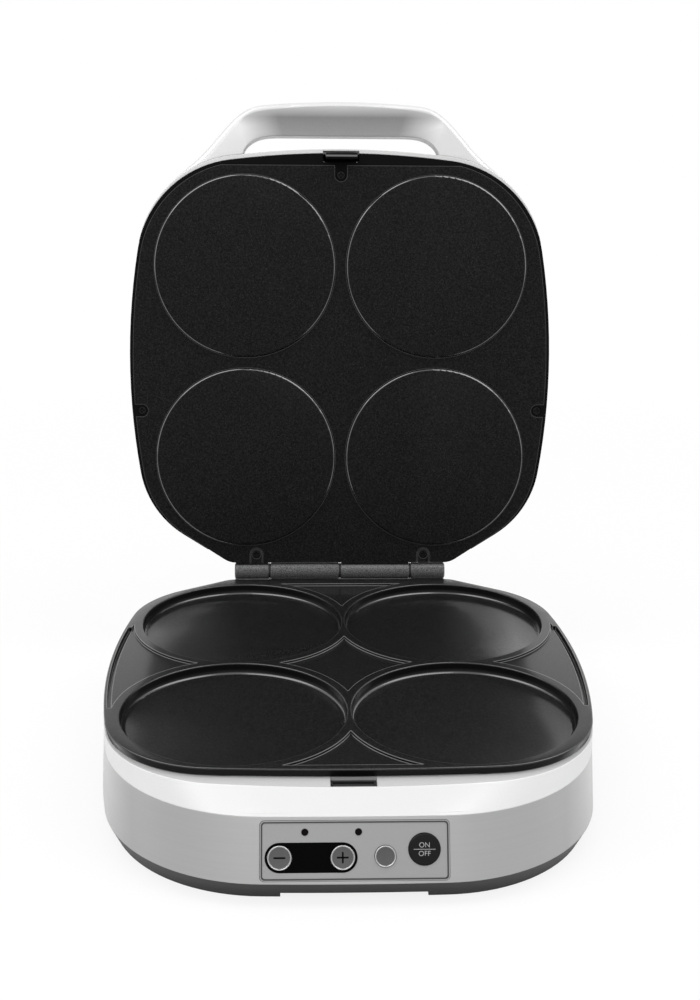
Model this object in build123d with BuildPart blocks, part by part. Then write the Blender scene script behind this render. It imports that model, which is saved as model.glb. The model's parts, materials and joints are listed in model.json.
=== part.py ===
"""Four-pan crepe maker with a hinged lid, stored with the lid standing open.

Millimetres. The frame has +Z up, the control panel facing -Y and the floor at Z = 0. The plates are
drawn in the coordinates of the grid of pans, and the lid is drawn on its own plane, which the hinge
has turned up from the closed position.
"""
import os
from math import cos, radians, sin, sqrt

from build123d import *

os.makedirs("parts", exist_ok=True)

# Fits
slide_gap = 0.3
thread_gap = 0.05
running_gap = 0.05
hole_gap = 0.2
button_gap = 0.2

# Levels above the table
skirt_foot = 1.0
floor_bottom = 4.0
floor_top = 6.5
wall_foot = 11.0
post_joint = 20.0
wall_head = 39.0
ledge_height = 49.0
rim_height = 53.5
plate_edge = rim_height - ledge_height

# Pans and discs
pan_count = 2
pan_pitch = 122.1
pan_radius = 60.0
pan_depth = 6.25
pan_round = 3.0
ring_width = 5.4
cup_wall = 2.0
cup_floor = 2.75
cup_depth = pan_depth + cup_floor
disc_margin = 2.3
disc_radius = pan_radius - disc_margin
disc_rise = 2.5
disc_round = 1.8
loop_half = pan_pitch / 2
pan_reach = loop_half + pan_radius

# Hinge
hinge_setback = 15.15
hinge_y = pan_reach + hinge_setback
hinge_rise = 3.9
open_angle = 100.4
barrel_radius = 5.25
barrel_outer = 68.7
barrel_inner = 46.0
barrel_gap = 0.5
barrel_chamfer = 0.7
barrel_clearance = 0.65
pin_radius = 2.0
pin_recess = 0.5
web_step = 3.2
web_overlap = 3.0
sill_reach = 1.8
base_back = hinge_y - barrel_radius + running_gap
lid_back = hinge_y - barrel_radius - barrel_clearance
web_start = base_back - web_overlap
sill_back = hinge_y + sill_reach
sill_top = hinge_rise - barrel_radius - barrel_clearance

# Plans, all drawn about the centre of the pan grid, each set off from the one before it
side_bow = 430.0
shoulder_setback = 33.0
shoulder_y = base_back - shoulder_setback
shoulder_round = 60.0
neck_margin = 3.3
neck_half = barrel_outer + neck_margin
neck_round = 14.0

side_land = 13.15
front_land = 4.75
plate_half = pan_reach + side_land
plate_front = pan_reach + front_land
plate_front_bow = 1134.0
plate_corner = 60.5
edge_draft = 0.8

ledge_side_step = 0.1
ledge_front_step = 9.5
ledge_half = plate_half + ledge_side_step
ledge_front = plate_front + ledge_front_step
ledge_front_bow = 560.0
ledge_corner = 68.0

band_side_step = 0.2
band_front_step = 10.8
wall_head_half = ledge_half + band_side_step
wall_head_front = ledge_front + band_front_step
wall_head_bow = 2000.0
wall_head_corner = 86.0

wall_side_step = 1.3
wall_front_step = 14.2
wall_foot_half = wall_head_half + wall_side_step
wall_foot_front = wall_head_front + wall_front_step
wall_foot_bow = 1490.0
wall_foot_corner = 86.5
wall_foot_side_bow = 480.0

skirt_side_step = 4.1
skirt_front_step = 5.3
floor_half = wall_foot_half - skirt_side_step
floor_front = wall_foot_front - skirt_front_step
floor_front_bow = 1560.0
floor_corner = 82.0
floor_side_bow = 450.0

lid_overhang = 0.6
lid_setback = 0.9
frame_setback = 2.6
lid_plate_inset = 1.8
lid_plate_setback = 1.3
lid_half = plate_half + lid_overhang
lid_front = ledge_front - lid_setback
lid_front_bow = 560.0
lid_corner = 68.0
frame_front = lid_front - frame_setback
lid_plate_half = lid_half - lid_plate_inset
lid_plate_front = plate_front - lid_plate_setback

# Lands and grooves of the lower plate
land_depth = 1.6
front_land_margin = 4.8
rear_land_margin = 8.5
front_land_y = plate_front - front_land_margin
rear_land_y = base_back - rear_land_margin
groove_inset = 1.8
groove_width = 2.2
groove_depth = 3.3
groove_front_margin = 4.05
groove_rear_margin = 9.05
groove_front_y = loop_half - groove_front_margin
groove_rear_y = loop_half - groove_rear_margin
rim_round = 0.6

# Heaters
heater_radius = 3.25
heater_bend = 14.0
heater_leg = 16.0
heater_setback = 23.0
heater_end = base_back - heater_setback
terminal_radius = 2.0
terminal_length = 8.0
channel_wall = 3.0
channel_rise = 2 * slide_gap + 2 * heater_radius
channel_depth = cup_depth + channel_rise
boss_radius = 4.0
clip_offset = 11.0
clip_thickness = 1.0
clip_width = 9.0
clip_overhang = 4.0
clip_front_x = 32.0

# Heat shields
shield_inset = 23.05
shield_half = pan_reach - shield_inset
shield_corner = 24.0
shield_thickness = 1.0
shield_rim = 4.0
shield_stand = 11.0
shield_drop = cup_depth + shield_stand
shield_boss = 40.0
shield_boss_radius = 4.0

# Screws
screw_radius = 1.5
screw_head_radius = 3.0
screw_head_height = 2.0
screw_bite = 6.0
small_screw_radius = 0.9
small_head_radius = 1.8
small_head_height = 1.2

# Bezel
bezel_wall = 2.5
ledge_thickness = 2.5
ledge_inset = 8.0
bezel_lip = 4.0
bezel_lip_wall = 1.3
tab_drop = 9.5
tab_thickness = 2.5
plate_screw_inset = 22.2
plate_screw_setback = 13.8
plate_screw_side = plate_half - plate_screw_inset
plate_screw_front = (17.0, plate_front - plate_screw_setback)
plate_screw_rear = heater_end
tab_margin = 6.0
tab_side_overlap = 1.3
tab_front_overlap = 3.2
tab_rear_overlap = 1.5
side_tab_inner = plate_screw_side - tab_margin
side_tab_outer = ledge_half - tab_side_overlap
side_tab_half = 30.0
front_tab_half = 5.0
front_tab_inner = plate_screw_front[1] - tab_margin
front_tab_outer = ledge_front + tab_front_overlap
rear_tab_half = 8.5
rear_tab_margin = 7.0
rear_tab_inner = plate_screw_rear - rear_tab_margin
rear_tab_outer = base_back - tab_rear_overlap
post_radius = 4.0
tray_post_radius = 5.0
post_inset = 13.2
post_front_setback = 1.8
post_rear_setback = 11.0
post_side = (plate_half - post_inset, 24.0)
post_front = (17.0, plate_front - post_front_setback)
post_rear = base_back - post_rear_setback
post_screw_seat = 12.0
post_screw_length = 20.0
post_hole_end = 34.0
head_bore_radius = 3.5

# Wall and tray
wall_thickness = 1.2
tray_wall = 2.5
tray_lip = 4.0
tray_lip_wall = 1.6
skid_gap_half = 35.7
foot_inset = 35.7
foot_front_setback = 51.0
foot_rear_setback = 47.0
foot_x = floor_half - foot_inset
foot_front_y = floor_front - foot_front_setback
foot_rear_y = base_back - foot_rear_setback
foot_radius = 8.0
foot_stem_radius = 3.0
foot_barb_radius = 4.2
foot_barb_height = 1.5
foot_chamfer = 0.6

# Latch
slot_half = 11.4
slot_overlap = 1.5
slot_margin = 0.7
slot_rear = plate_front - slot_overlap
slot_front = ledge_front - slot_margin
well_half = 10.2
well_wall = 1.0
well_floor = 1.5
well_depth = 17.0
well_flange = 18.0
well_flange_thickness = 1.0
well_flange_setback = 2.2
well_flange_front = slot_front - well_flange_setback
well_screw_x = 15.2
catch_radius = 1.25
catch_setback = 3.0
catch_y = slot_rear + catch_setback
catch_drop = plate_edge + ledge_thickness + catch_radius + slide_gap
hook_half = 9.8
hook_reach = 3.9
hook_pivot_setback = 2.7
hook_thickness = 2.0
hook_hub_radius = 3.0
hook_pivot_y = slot_rear + hook_pivot_setback
hook_front = hook_pivot_y + hook_reach
hook_pivot_height = 12.0
hook_tail = 6.0
hook_tooth_reach = 1.7
hook_tooth_height = 0.9
hook_tooth_slope = 1.7
hook_toe = 1.3
spring_thickness = 0.4
spring_half = 4.0
spring_foot_reach = 4.7
spring_back_reach = 4.0
spring_tip_reach = 2.0
spring_foot = hook_pivot_y - spring_foot_reach
spring_back = hook_pivot_y - spring_back_reach
spring_tip = hook_pivot_y - spring_tip_reach
hook_gap = 0.45
latch_pin_radius = 1.25
ear_thickness = 2.5
ear_reach = 3.5
hook_slot_overlap = 0.7
recess_margin = 2.3
hook_slot_rear = hook_pivot_y - hook_slot_overlap
recess_front = hook_front + recess_margin
recess_height = 8.0

# Lid
lid_gap = 0.75
frame_thickness = 2.5
frame_fit = 0.15
frame_flange = 2.0
frame_flange_reach = 2.4
cover_height = 38.0
cover_round = 16.0
cover_wall = 2.5
lid_post_radius = 3.4
lid_post_top = 29.0
lug_radius = 3.7
lid_head_radius = 2.6
lid_head_height = 1.1
lid_head_sink = 0.2
lid_screw_setback = 6.2
lid_screw_inset = 5.5
lid_screw_front = lid_plate_front - lid_screw_setback
lid_screw_side = (lid_plate_half - lid_screw_inset, 30.8)
lid_screw_rear = (54.6, lid_back - lid_screw_inset)
lug_groove_width = 0.5
lug_groove_depth = 0.4
lid_screw_length = 14.0

# Handle, in distances from the middle line and out from the lid's front
handle_low = 3.5
handle_high = 18.5
handle_front = 29.8
handle_front_mid = (39.0, 28.4)
handle_shoulder = (60.0, 24.4)
handle_flank = (72.0, 14.2)
handle_waist = (88.0, -3.5)
handle_root = (105.0, -17.9)
handle_root_slope = (-0.77, -0.64)
handle_tip_slope = 0.072
grip_half = 62.5
grip_side = -6.4
grip_corner = (56.5, 4.5)
grip_flat_half = 38.0
grip_front = 8.2
handle_round = 4.5
scoop_radius = 26.0
scoop_depth = 2.2
scoop_half = 66.0
scoop_y = 17.1
handle_end = (98.0, -26.4)
handle_screw_inner = 70.0
handle_screw_outer = 78.0
handle_screw_height = 11.0
handle_screw_length = 15.0
pad_inner = 66.0
pad_outer = 82.0
pad_inset = 12.4
pad_thickness = 3.0
pad_seat = lid_front - pad_inset
pad_front = pad_seat + pad_thickness
pad_low = 8.0
pad_high = 14.5

# Control panel
panel_width = 90.8
panel_height = 28.3
panel_round = 2.4
panel_thickness = 2.2
panel_sink = 0.3
panel_frame_wall = 1.0
panel_frame_depth = 3.2
panel_frame_lip = 0.8
panel_frame_flange = 1.5
panel_frame_flange_top = 1.8
panel_fit = 0.15
pill_length = 44.1
pill_height = 13.9
pill_x = -20.9
pill_y = -3.2
window_flange = 0.5
window_flange_thickness = 1.0
step_button_radius = 5.8
extra_button_radius = 5.1
start_button_radius = 7.6
extra_x = 14.6
extra_y = -2.8
start_x = 33.3
start_y = 0.4
button_stand = 0.9
button_chamfer = 0.5
button_flange = 1.0
button_flange_thickness = 1.0
button_stem_radius = 2.0
button_travel = 0.8
button_slack = 0.1
lamp_radius = 1.5
lamp_stand = 0.3
lamp_left_x = -23.9
lamp_right_x = 1.8
lamp_y = 8.7
board_depth = 10.0
board_thickness = 1.6
board_width = 87.0
board_height = 24.0
switch_size = 6.0
switch_height = 3.6
plunger_radius = 1.5
plunger_height = 0.6
display_width = 15.0
display_height = 10.0
board_post_x = 41.2
board_post_y = 10.0
board_post_mid_x = 4.8
board_post_radius = 2.2
board_screw_bite = 4.0

# Electrics
power_width = 110.0
power_length = 70.0
power_y = 10.0
power_height = 12.0
standoff_x = 49.0
standoff_y = 29.0
standoff_radius = 3.0
relay_size = (22.0, 16.0, 15.0)
relay_spot = (-32.0, 2.0)
transformer_size = (30.0, 25.0, 15.0)
transformer_spot = (26.0, 12.0)
capacitor_radius = 5.0
capacitor_length = 13.0
capacitor_spot = (-6.0, 32.0)
block_size = (38.0, 16.0, 13.0)
block_x = -45.0
block_setback = 33.0
block_spot = (block_x, base_back - block_setback)
block_pitch = 12.0
block_holes = 3
block_hole_radius = 2.2
block_hole_depth = 7.0
sensor_radius = 4.5
sensor_stem = 6.0
sensor_stem_radius = 2.0
fuse_size = (16.0, 7.0, 5.0)
fuse_y = -32.0
fuse_lead_radius = 0.7
fuse_lead = 7.0

# Cord inlet
gland_x = block_x
gland_height = 25.0
gland_bore = 3.75
gland_neck = 6.0
gland_flange = 9.0
gland_flange_thickness = 2.5
gland_clip = 8.0
gland_clip_thickness = 2.0

# The lid's far corner, turned up about the hinge, sets how far the box reaches behind
fold = radians(open_angle)
far_y = lid_front + hinge_y - cover_round
far_z = cover_height - hinge_rise - cover_round
rear_reach = hinge_y - far_y * cos(fold) + far_z * sin(fold) + cover_round
grid_y = (wall_foot_front - rear_reach) / 2

bench = Plane(origin=(0, grid_y, 0))
deck = bench.offset(rim_height)
deck_side = Plane(origin=deck.origin, x_dir=(0, 1, 0), z_dir=(1, 0, 0))
lid_deck = Plane(
    origin=(
        0,
        grid_y + hinge_y - hinge_y * cos(fold) - hinge_rise * sin(fold),
        rim_height + hinge_rise + hinge_y * sin(fold) - hinge_rise * cos(fold),
    ),
    x_dir=(1, 0, 0),
    z_dir=(0, sin(fold), cos(fold)),
)
lid_side = Plane(origin=lid_deck.origin, x_dir=lid_deck.y_dir, z_dir=lid_deck.x_dir)
under_pans = Plane(origin=deck.origin, x_dir=(-1, 0, 0), z_dir=(0, 0, -1)).offset(cup_depth)
over_plate = lid_deck.offset(lid_gap + plate_edge)
lid_up = Axis(lid_deck.origin, lid_deck.z_dir)
handle_screw_plane = Plane(
    origin=lid_deck.from_local_coords((0, -pad_seat, handle_screw_height)),
    x_dir=lid_deck.x_dir,
    z_dir=lid_deck.y_dir,
)

# The panel lies on the sloping front wall
wall_slope = (wall_foot_front - wall_head_front) / (wall_head - wall_foot)
panel_mid = (wall_foot + wall_head) / 2
panel_front = (wall_foot_front + wall_head_front) / 2
panel_plane = Plane(
    origin=(0, grid_y - panel_front, panel_mid),
    x_dir=(1, 0, 0),
    z_dir=(0, -1, wall_slope),
).offset(-panel_sink)
minus_x = pill_x - (pill_length - pill_height) / 2
plus_x = pill_x + (pill_length - pill_height) / 2

heater_corners = [
    (-heater_leg, heater_end),
    (-heater_leg, loop_half),
    (-loop_half, loop_half),
    (-loop_half, -loop_half),
    (loop_half, -loop_half),
    (loop_half, loop_half),
    (heater_leg, loop_half),
    (heater_leg, heater_end),
]
channel_inner = 2 * (heater_radius + slide_gap)
channel_outer = channel_inner + 2 * channel_wall
side_clips = [(-loop_half - clip_offset, 0), (loop_half + clip_offset, 0)]
front_clips = [(-clip_front_x, -loop_half - clip_offset), (clip_front_x, -loop_half - clip_offset)]
plate_screws = [
    (-plate_screw_side, 0),
    (plate_screw_side, 0),
    (-plate_screw_front[0], -plate_screw_front[1]),
    (plate_screw_front[0], -plate_screw_front[1]),
    (0, plate_screw_rear),
]
post_spots = [
    (-post_side[0], -post_side[1]),
    (-post_side[0], post_side[1]),
    (post_side[0], -post_side[1]),
    (post_side[0], post_side[1]),
    (-post_front[0], -post_front[1]),
    (post_front[0], -post_front[1]),
    (0, post_rear),
]
foot_spots = [
    (-foot_x, -foot_front_y),
    (foot_x, -foot_front_y),
    (-foot_x, foot_rear_y),
    (foot_x, foot_rear_y),
]
front_screw = (0, -lid_screw_front)
side_screws = [(-lid_screw_side[0], lid_screw_side[1]), (lid_screw_side[0], lid_screw_side[1])]
rear_screws = [(-lid_screw_rear[0], lid_screw_rear[1]), (lid_screw_rear[0], lid_screw_rear[1])]
lid_screws = [front_screw, *side_screws, *rear_screws]
handle_screw_spots = [
    (-handle_screw_outer, 0),
    (-handle_screw_inner, 0),
    (handle_screw_inner, 0),
    (handle_screw_outer, 0),
]
ear_middle = slot_half + ear_thickness / 2
well_mid = (slot_front + slot_rear) / 2
well_length = slot_front - slot_rear - 2 * hole_gap
tray_lip_inset = wall_thickness + wall_slope * tray_lip + slide_gap
panel_notch = panel_width + 2 * (panel_frame_flange + slide_gap)


def plan(half, front, side, bow, corner, back, grow=0):
    """Bowed sides and front, round front corners, shoulders running in to a straight back edge."""
    shoulder_x = half - side + sqrt(side**2 - shoulder_y**2)
    run = (back - shoulder_y) / (shoulder_x - neck_half)
    reach = half + front
    with BuildSketch() as sketch:
        with BuildLine():
            Polyline(
                (-reach, -reach),
                (reach, -reach),
                (reach, shoulder_y - run * (reach - shoulder_x)),
                (neck_half, back),
                (-neck_half, back),
                (-reach, shoulder_y - run * (reach - shoulder_x)),
                close=True,
            )
        make_face()
        if grow:
            offset(amount=grow, kind=Kind.INTERSECTION)
        with Locations((half - side, 0)):
            Circle(side + grow, mode=Mode.INTERSECT)
        with Locations((side - half, 0)):
            Circle(side + grow, mode=Mode.INTERSECT)
        with Locations((0, bow - front)):
            Circle(bow + grow, mode=Mode.INTERSECT)
        fillet(sketch.vertices().group_by(Axis.Y)[-2], shoulder_round + grow)
        fillet(sketch.vertices().group_by(Axis.Y)[-1], neck_round + grow)
        fillet(sketch.vertices().group_by(Axis.Y)[0], corner + grow)
    return sketch.sketch


def plate_plan(grow=0):
    return plan(plate_half, plate_front, side_bow, plate_front_bow, plate_corner, base_back, grow)


def ledge_plan(grow=0):
    return plan(ledge_half, ledge_front, side_bow, ledge_front_bow, ledge_corner, base_back, grow)


def wall_head_plan(grow=0):
    return plan(
        wall_head_half, wall_head_front, side_bow, wall_head_bow, wall_head_corner, base_back, grow
    )


def wall_foot_plan(grow=0):
    return plan(
        wall_foot_half,
        wall_foot_front,
        wall_foot_side_bow,
        wall_foot_bow,
        wall_foot_corner,
        base_back,
        grow,
    )


def floor_plan(grow=0):
    return plan(floor_half, floor_front, floor_side_bow, floor_front_bow, floor_corner, base_back, grow)


def lid_plan(grow=0):
    return plan(lid_half, lid_front, side_bow, lid_front_bow, lid_corner, lid_back, grow)


def frame_plan(grow=0):
    return plan(lid_half, frame_front, side_bow, lid_front_bow, lid_corner, lid_back, grow)


def lid_plate_plan(grow=0):
    """The lid's cooking plate, cut straight across at the front."""
    bowed_front = frame_front - (lid_half - lid_plate_half)
    with BuildSketch() as sketch:
        add(plan(lid_plate_half, bowed_front, side_bow, lid_front_bow, lid_corner, lid_back, grow))
        with Locations((0, lid_front - lid_plate_front - grow)):
            Rectangle(2 * lid_half, 2 * lid_front, mode=Mode.INTERSECT)
    return sketch.sketch


def heater_track(width):
    """The band of a given width along the heater's path."""
    with BuildLine() as path:
        FilletPolyline(*heater_corners, radius=heater_bend)
    with BuildSketch() as sketch:
        trace(path.line, line_width=width)
    return sketch.sketch


def lands():
    """What the four rings leave between them, out to the front, the back and the side grooves."""
    with BuildSketch() as sketch:
        Rectangle(2 * plate_half, pan_pitch)
        with Locations((0, (rear_land_y - front_land_y) / 2)):
            Rectangle(pan_pitch, rear_land_y + front_land_y)
        add(plate_plan(-groove_inset - groove_width), mode=Mode.INTERSECT)
        with GridLocations(pan_pitch, pan_pitch, pan_count, pan_count):
            Circle(pan_radius + ring_width, mode=Mode.SUBTRACT)
    return sketch.sketch


def side_grooves():
    """A narrow run along each bowed side, between two offsets of the plate's outline."""
    with BuildSketch() as sketch:
        add(plate_plan(-groove_inset))
        add(plate_plan(-groove_inset - groove_width), mode=Mode.SUBTRACT)
        with Locations((0, (groove_rear_y - groove_front_y) / 2)):
            Rectangle(2 * plate_half, groove_rear_y + groove_front_y, mode=Mode.INTERSECT)
    return sketch.sketch


def pill(grow=0):
    """The long display window with full-round ends."""
    with BuildSketch() as sketch:
        with Locations((pill_x, pill_y)):
            SlotOverall(pill_length + 2 * grow, pill_height + 2 * grow)
    return sketch.sketch


def lugs(grow=0):
    """Round-ended tongues that run in from the lid's frame to the front screw and the two side ones."""
    side_x, side_y = lid_screw_side
    with BuildSketch() as sketch:
        with Locations(front_screw, *side_screws):
            Circle(lug_radius + grow)
        with Locations((-(side_x + lid_plate_half) / 2, side_y), ((side_x + lid_plate_half) / 2, side_y)):
            Rectangle(lid_plate_half - side_x, 2 * (lug_radius + grow))
        with Locations((0, -(lid_screw_front + hook_slot_rear) / 2)):
            Rectangle(2 * (lug_radius + grow), hook_slot_rear - lid_screw_front)
    return sketch.sketch


def rear_lugs(grow=0):
    """Round-ended tongues from the two rear screws to the back edge of the lid's plate."""
    rear_x, rear_y = lid_screw_rear
    with BuildSketch() as sketch:
        with Locations(*rear_screws):
            Circle(lug_radius + grow)
        with Locations((-rear_x, (rear_y + lid_back) / 2), (rear_x, (rear_y + lid_back) / 2)):
            Rectangle(2 * (lug_radius + grow), lid_back - rear_y)
    return sketch.sketch


def flip(point, side=1):
    """A point of the handle, from its distances to one side and out from the lid's front."""
    return (side * point[0], -lid_front - point[1])


def barrel(back, barrel_start, barrel_end):
    """A hinge barrel with chamfered ends, turned about the hinge's axis."""
    axle = back.from_local_coords((0, hinge_y, hinge_rise))
    with BuildPart() as knuckle:
        with BuildSketch(Plane(origin=axle, x_dir=back.x_dir, z_dir=back.z_dir)):
            with BuildLine():
                Polyline(
                    (barrel_start, 0),
                    (barrel_start, barrel_radius - barrel_chamfer),
                    (barrel_start + barrel_chamfer, barrel_radius),
                    (barrel_end - barrel_chamfer, barrel_radius),
                    (barrel_end, barrel_radius - barrel_chamfer),
                    (barrel_end, 0),
                    close=True,
                )
            make_face()
        revolve(axis=Axis(axle, back.x_dir))
    return knuckle.part


# Base: the moulded tray stands on rubber feet and carries the sheet wall
with BuildPart() as base_tray:
    with BuildSketch(bench.offset(skirt_foot)):
        add(floor_plan())
    with BuildSketch(bench.offset(wall_foot)):
        add(wall_foot_plan())
    loft()
    with BuildSketch(bench.offset(floor_top)):
        add(floor_plan(-tray_wall))
    extrude(amount=wall_foot - floor_top, mode=Mode.SUBTRACT)
    with BuildSketch(bench.offset(skirt_foot)):
        add(floor_plan(-tray_wall))
        Rectangle(2 * skid_gap_half, 2 * floor_front + 2 * tray_wall)
    extrude(amount=floor_bottom - skirt_foot, mode=Mode.SUBTRACT)
    # The lip that the wall fits over
    with BuildSketch(bench.offset(wall_foot)):
        add(wall_foot_plan(-tray_lip_inset))
        add(wall_foot_plan(-tray_lip_inset - tray_lip_wall), mode=Mode.SUBTRACT)
    extrude(amount=tray_lip)
    # A notch behind the control panel
    with BuildSketch(panel_plane):
        Rectangle(panel_notch, panel_height + 2 * slide_gap)
    extrude(amount=-board_depth - board_thickness, mode=Mode.SUBTRACT)
    with BuildSketch(bench.offset(floor_top)):
        with Locations(*post_spots):
            Circle(tray_post_radius)
    extrude(amount=post_joint - floor_top)
    with BuildSketch(bench.offset(floor_top)):
        with Locations((0, power_y)):
            with GridLocations(2 * standoff_x, 2 * standoff_y, pan_count, pan_count):
                Circle(standoff_radius)
                Circle(small_screw_radius + thread_gap, mode=Mode.SUBTRACT)
    extrude(amount=power_height - floor_top)
    with BuildSketch(bench.offset(floor_bottom)):
        with Locations(*post_spots):
            Circle(head_bore_radius)
    extrude(amount=post_screw_seat - floor_bottom, mode=Mode.SUBTRACT)
    with BuildSketch(bench.offset(post_screw_seat)):
        with Locations(*post_spots):
            Circle(screw_radius + hole_gap)
    extrude(amount=post_joint - post_screw_seat, mode=Mode.SUBTRACT)
    with BuildSketch(bench.offset(floor_bottom)):
        with Locations(*foot_spots):
            Circle(foot_stem_radius + hole_gap)
    extrude(amount=floor_top - floor_bottom, mode=Mode.SUBTRACT)
base_tray.part.label = "base_tray"
export_step(base_tray.part, "parts/base_tray.step")

with BuildPart() as rubber_feet:
    with BuildSketch(bench):
        with Locations(*foot_spots):
            Circle(foot_radius)
    extrude(amount=floor_bottom)
    with BuildSketch(bench.offset(floor_bottom)):
        with Locations(*foot_spots):
            Circle(foot_stem_radius)
    extrude(amount=floor_top - floor_bottom)
    with BuildSketch(bench.offset(floor_top)):
        with Locations(*foot_spots):
            Circle(foot_barb_radius)
    extrude(amount=foot_barb_height)
    chamfer(rubber_feet.edges().filter_by(GeomType.CIRCLE).group_by(Axis.Z)[0], foot_chamfer)
rubber_feet.part.label = "rubber_feet"
export_step(rubber_feet.part, "parts/rubber_feet.step")

with BuildPart() as housing_wall:
    with BuildSketch(bench.offset(wall_foot)):
        add(wall_foot_plan())
    with BuildSketch(bench.offset(wall_head)):
        add(wall_head_plan())
    loft()
    with BuildSketch(bench.offset(wall_foot)):
        add(wall_foot_plan(-wall_thickness))
    with BuildSketch(bench.offset(wall_head)):
        add(wall_head_plan(-wall_thickness))
    loft(mode=Mode.SUBTRACT)
    with BuildSketch(panel_plane):
        RectangleRounded(panel_width + 2 * panel_fit, panel_height + 2 * panel_fit, panel_round)
    extrude(amount=wall_thickness + panel_frame_depth, both=True, mode=Mode.SUBTRACT)
    with BuildSketch(Plane(origin=(gland_x, grid_y + base_back, gland_height), z_dir=(0, 1, 0))):
        Circle(gland_neck + hole_gap)
    extrude(amount=wall_thickness + gland_flange_thickness, both=True, mode=Mode.SUBTRACT)
housing_wall.part.label = "housing_wall"
export_step(housing_wall.part, "parts/housing_wall.step")

# Bezel: the bright band and the ledge that the lower plate lies on
with BuildPart() as base_bezel:
    with BuildSketch(bench.offset(wall_head)):
        add(wall_head_plan())
    with BuildSketch(bench.offset(ledge_height)):
        add(ledge_plan())
    loft()
    with BuildSketch(bench.offset(wall_head)):
        add(wall_head_plan(-bezel_wall))
    with BuildSketch(bench.offset(ledge_height - ledge_thickness)):
        add(ledge_plan(-bezel_wall))
    loft(mode=Mode.SUBTRACT)
    with BuildSketch(bench.offset(wall_head - bezel_lip)):
        add(wall_head_plan(-wall_thickness - slide_gap))
        add(wall_head_plan(-wall_thickness - slide_gap - bezel_lip_wall), mode=Mode.SUBTRACT)
    extrude(amount=bezel_lip + bezel_lip_wall)
    with BuildSketch(bench.offset(wall_head - bezel_lip)):
        with Locations((0, -wall_head_front)):
            Rectangle(panel_notch, 2 * ledge_inset)
    extrude(amount=bezel_lip, mode=Mode.SUBTRACT)
    with BuildSketch(bench.offset(ledge_height - ledge_thickness)):
        add(plate_plan(-ledge_inset))
        with GridLocations(pan_pitch, pan_pitch, pan_count, pan_count):
            Circle(pan_radius + cup_wall + slide_gap)
    extrude(amount=ledge_thickness, mode=Mode.SUBTRACT)
    # Tabs under the plate's lands, for its screws and for the posts
    with BuildSketch(deck.offset(-tab_drop)):
        with Locations(
            ((side_tab_inner + side_tab_outer) / 2, 0), (-(side_tab_inner + side_tab_outer) / 2, 0)
        ):
            Rectangle(side_tab_outer - side_tab_inner, 2 * side_tab_half)
        with Locations(
            (post_front[0], -(front_tab_inner + front_tab_outer) / 2),
            (-post_front[0], -(front_tab_inner + front_tab_outer) / 2),
        ):
            Rectangle(2 * front_tab_half, front_tab_outer - front_tab_inner)
        with Locations((0, (rear_tab_inner + rear_tab_outer) / 2)):
            Rectangle(2 * rear_tab_half, rear_tab_outer - rear_tab_inner)
    extrude(amount=-tab_thickness)
    with BuildSketch(deck.offset(-tab_drop)):
        with Locations(*post_spots):
            Circle(post_radius)
    extrude(amount=-(rim_height - tab_drop - post_joint))
    with BuildSketch(bench.offset(post_joint)):
        with Locations(*post_spots):
            Circle(screw_radius + thread_gap)
    extrude(amount=post_hole_end - post_joint, mode=Mode.SUBTRACT)
    with BuildSketch(deck.offset(-tab_drop)):
        with Locations(*plate_screws):
            Circle(screw_radius + hole_gap)
    extrude(amount=-tab_thickness, mode=Mode.SUBTRACT)
    with BuildSketch(bench.offset(wall_head)):
        with Locations((0, -well_mid)):
            Rectangle(2 * slot_half, slot_front - slot_rear)
    extrude(amount=ledge_height - wall_head, mode=Mode.SUBTRACT)
    with BuildSketch(deck.offset(-plate_edge - ledge_thickness)):
        with Locations((-well_screw_x, -well_mid), (well_screw_x, -well_mid)):
            Circle(small_screw_radius + thread_gap)
    extrude(amount=ledge_thickness / 2, mode=Mode.SUBTRACT)
base_bezel.part.label = "base_bezel"
export_step(base_bezel.part, "parts/base_bezel.step")

with BuildPart() as tray_screws:
    with BuildSketch(bench.offset(post_screw_seat)):
        with Locations(*post_spots):
            Circle(screw_head_radius)
    extrude(amount=-screw_head_height)
    with BuildSketch(bench.offset(post_screw_seat)):
        with Locations(*post_spots):
            Circle(screw_radius)
    extrude(amount=post_screw_length)
tray_screws.part.label = "tray_screws"
export_step(tray_screws.part, "parts/tray_screws.step")

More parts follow.
